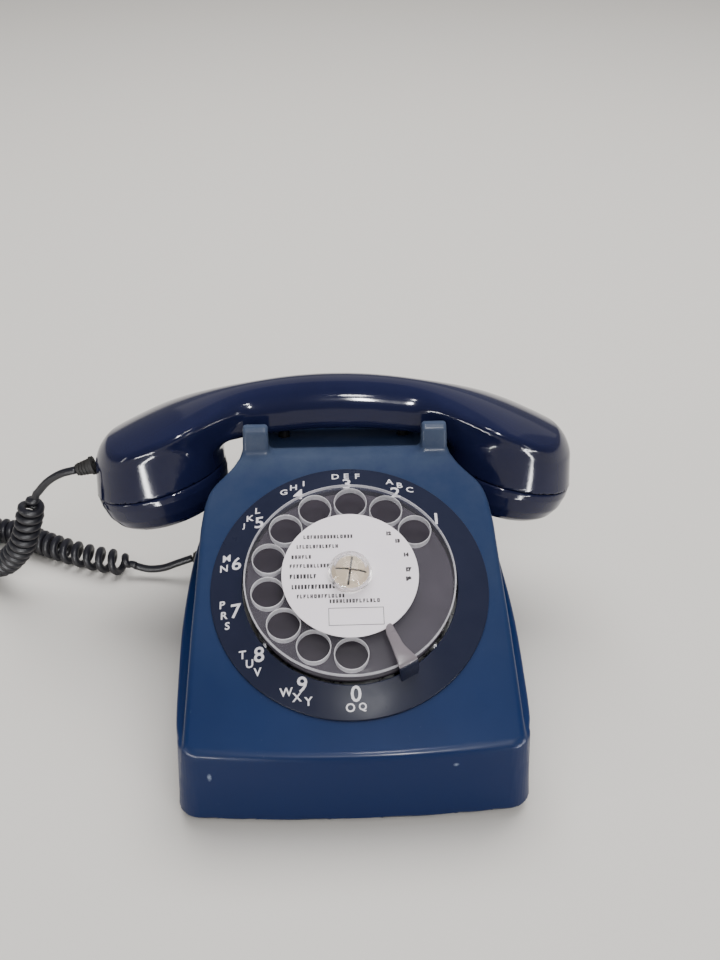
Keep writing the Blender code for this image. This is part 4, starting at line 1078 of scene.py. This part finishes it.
# ---------------------------------------------------------------- floor and light
floor_mesh = bpy.data.meshes.new("floor")
floor_mesh.from_pydata([(-4, -3, 0), (4, -3, 0), (4, 5, 0), (-4, 5, 0)], [], [(0, 1, 2, 3)])
floor = bpy.data.objects.new("floor", floor_mesh)
bpy.context.scene.collection.objects.link(floor)
floor_mat, nodes, links, shader = shader_of("floor_pale")
shader.inputs["Base Color"].default_value = (0.74, 0.72, 0.69, 1)
shader.inputs["Roughness"].default_value = 0.75
shader.inputs["Specular IOR Level"].default_value = 0.0
floor.data.materials.append(floor_mat)


LIGHT_AIM = Vector((0, 0.02, 0.07))


def area_light(name, azimuth, elevation, distance, wide, tall, power, colour, shine=True):
    """A soft light that looks at the telephone; azimuth 0 is the front and + is right.

    Without shine it lights surfaces but isn't seen in their reflections.
    """
    light = bpy.data.lights.new(name, "AREA")
    light.shape = "RECTANGLE"
    light.size, light.size_y = wide, tall
    light.energy = power
    light.color = colour
    obj = bpy.data.objects.new(name, light)
    a, e = math.radians(azimuth), math.radians(elevation)
    away = Vector((math.sin(a) * math.cos(e), -math.cos(a) * math.cos(e), math.sin(e)))
    obj.location = LIGHT_AIM + away * distance
    obj.rotation_euler = away.to_track_quat("Z", "Y").to_euler()
    obj.visible_glossy = shine
    bpy.context.scene.collection.objects.link(obj)


area_light("overhead", 165, 70, 1.7, 1.8, 1.4, 40, (1.0, 0.985, 0.96), shine=False)
area_light("front_fill", 12, 44, 2.0, 1.6, 1.1, 21, (1.0, 0.99, 0.98), shine=False)
area_light("left_strip", -70, 4, 1.3, 0.10, 0.60, 3.0, (1.0, 0.99, 0.97))
area_light("right_strip", 33, 4, 1.4, 0.08, 0.5, 1.6, (0.97, 0.98, 1.0))
area_light("back_wall", 172, 26, 2.2, 2.6, 1.2, 3, (1.0, 0.96, 0.91))


def glint_strip(name, spot, face, wide, tall, power, lean=0.0):
    """A strip that neither the camera nor dull surfaces see; lean turns it, in degrees."""
    light = bpy.data.lights.new(name, "AREA")
    light.shape = "RECTANGLE"
    light.size, light.size_y = wide, tall
    light.energy = power
    obj = bpy.data.objects.new(name, light)
    obj.location = spot
    turn = (Vector(spot) - Vector(face)).to_track_quat("Z", "Y").to_matrix()
    obj.rotation_euler = (turn @ Matrix.Rotation(math.radians(lean), 3, "Z")).to_euler()
    obj.visible_camera = False
    obj.visible_diffuse = False
    bpy.context.scene.collection.objects.link(obj)


glint_strip("glint_left", (-0.172, -0.260, 0.045), (-0.093, 0.025, 0.093), 0.18, 0.017, 1.0, lean=-20)
glint_strip("glint_right", (0.181, -0.170, 0.036), (0.090, 0.026, 0.10), 0.125, 0.012, 0.40, lean=27)
glint_strip("glint_edge", (0.045, -0.240, 0.50), (0.02, -0.10, 0.05), 0.05, 0.03, 0.6)
glint_strip("glint_top", (0.095, -0.66, 0.68), (0.018, 0.049, 0.126), 0.04, 0.12, 6.0)

world = bpy.data.worlds.new("studio")
world.use_nodes = True
world.node_tree.nodes["Background"].inputs["Color"].default_value = (0.80, 0.79, 0.78, 1)
world.node_tree.nodes["Background"].inputs["Strength"].default_value = 0.30
bpy.context.scene.world = world

bpy.context.view_layer.update()
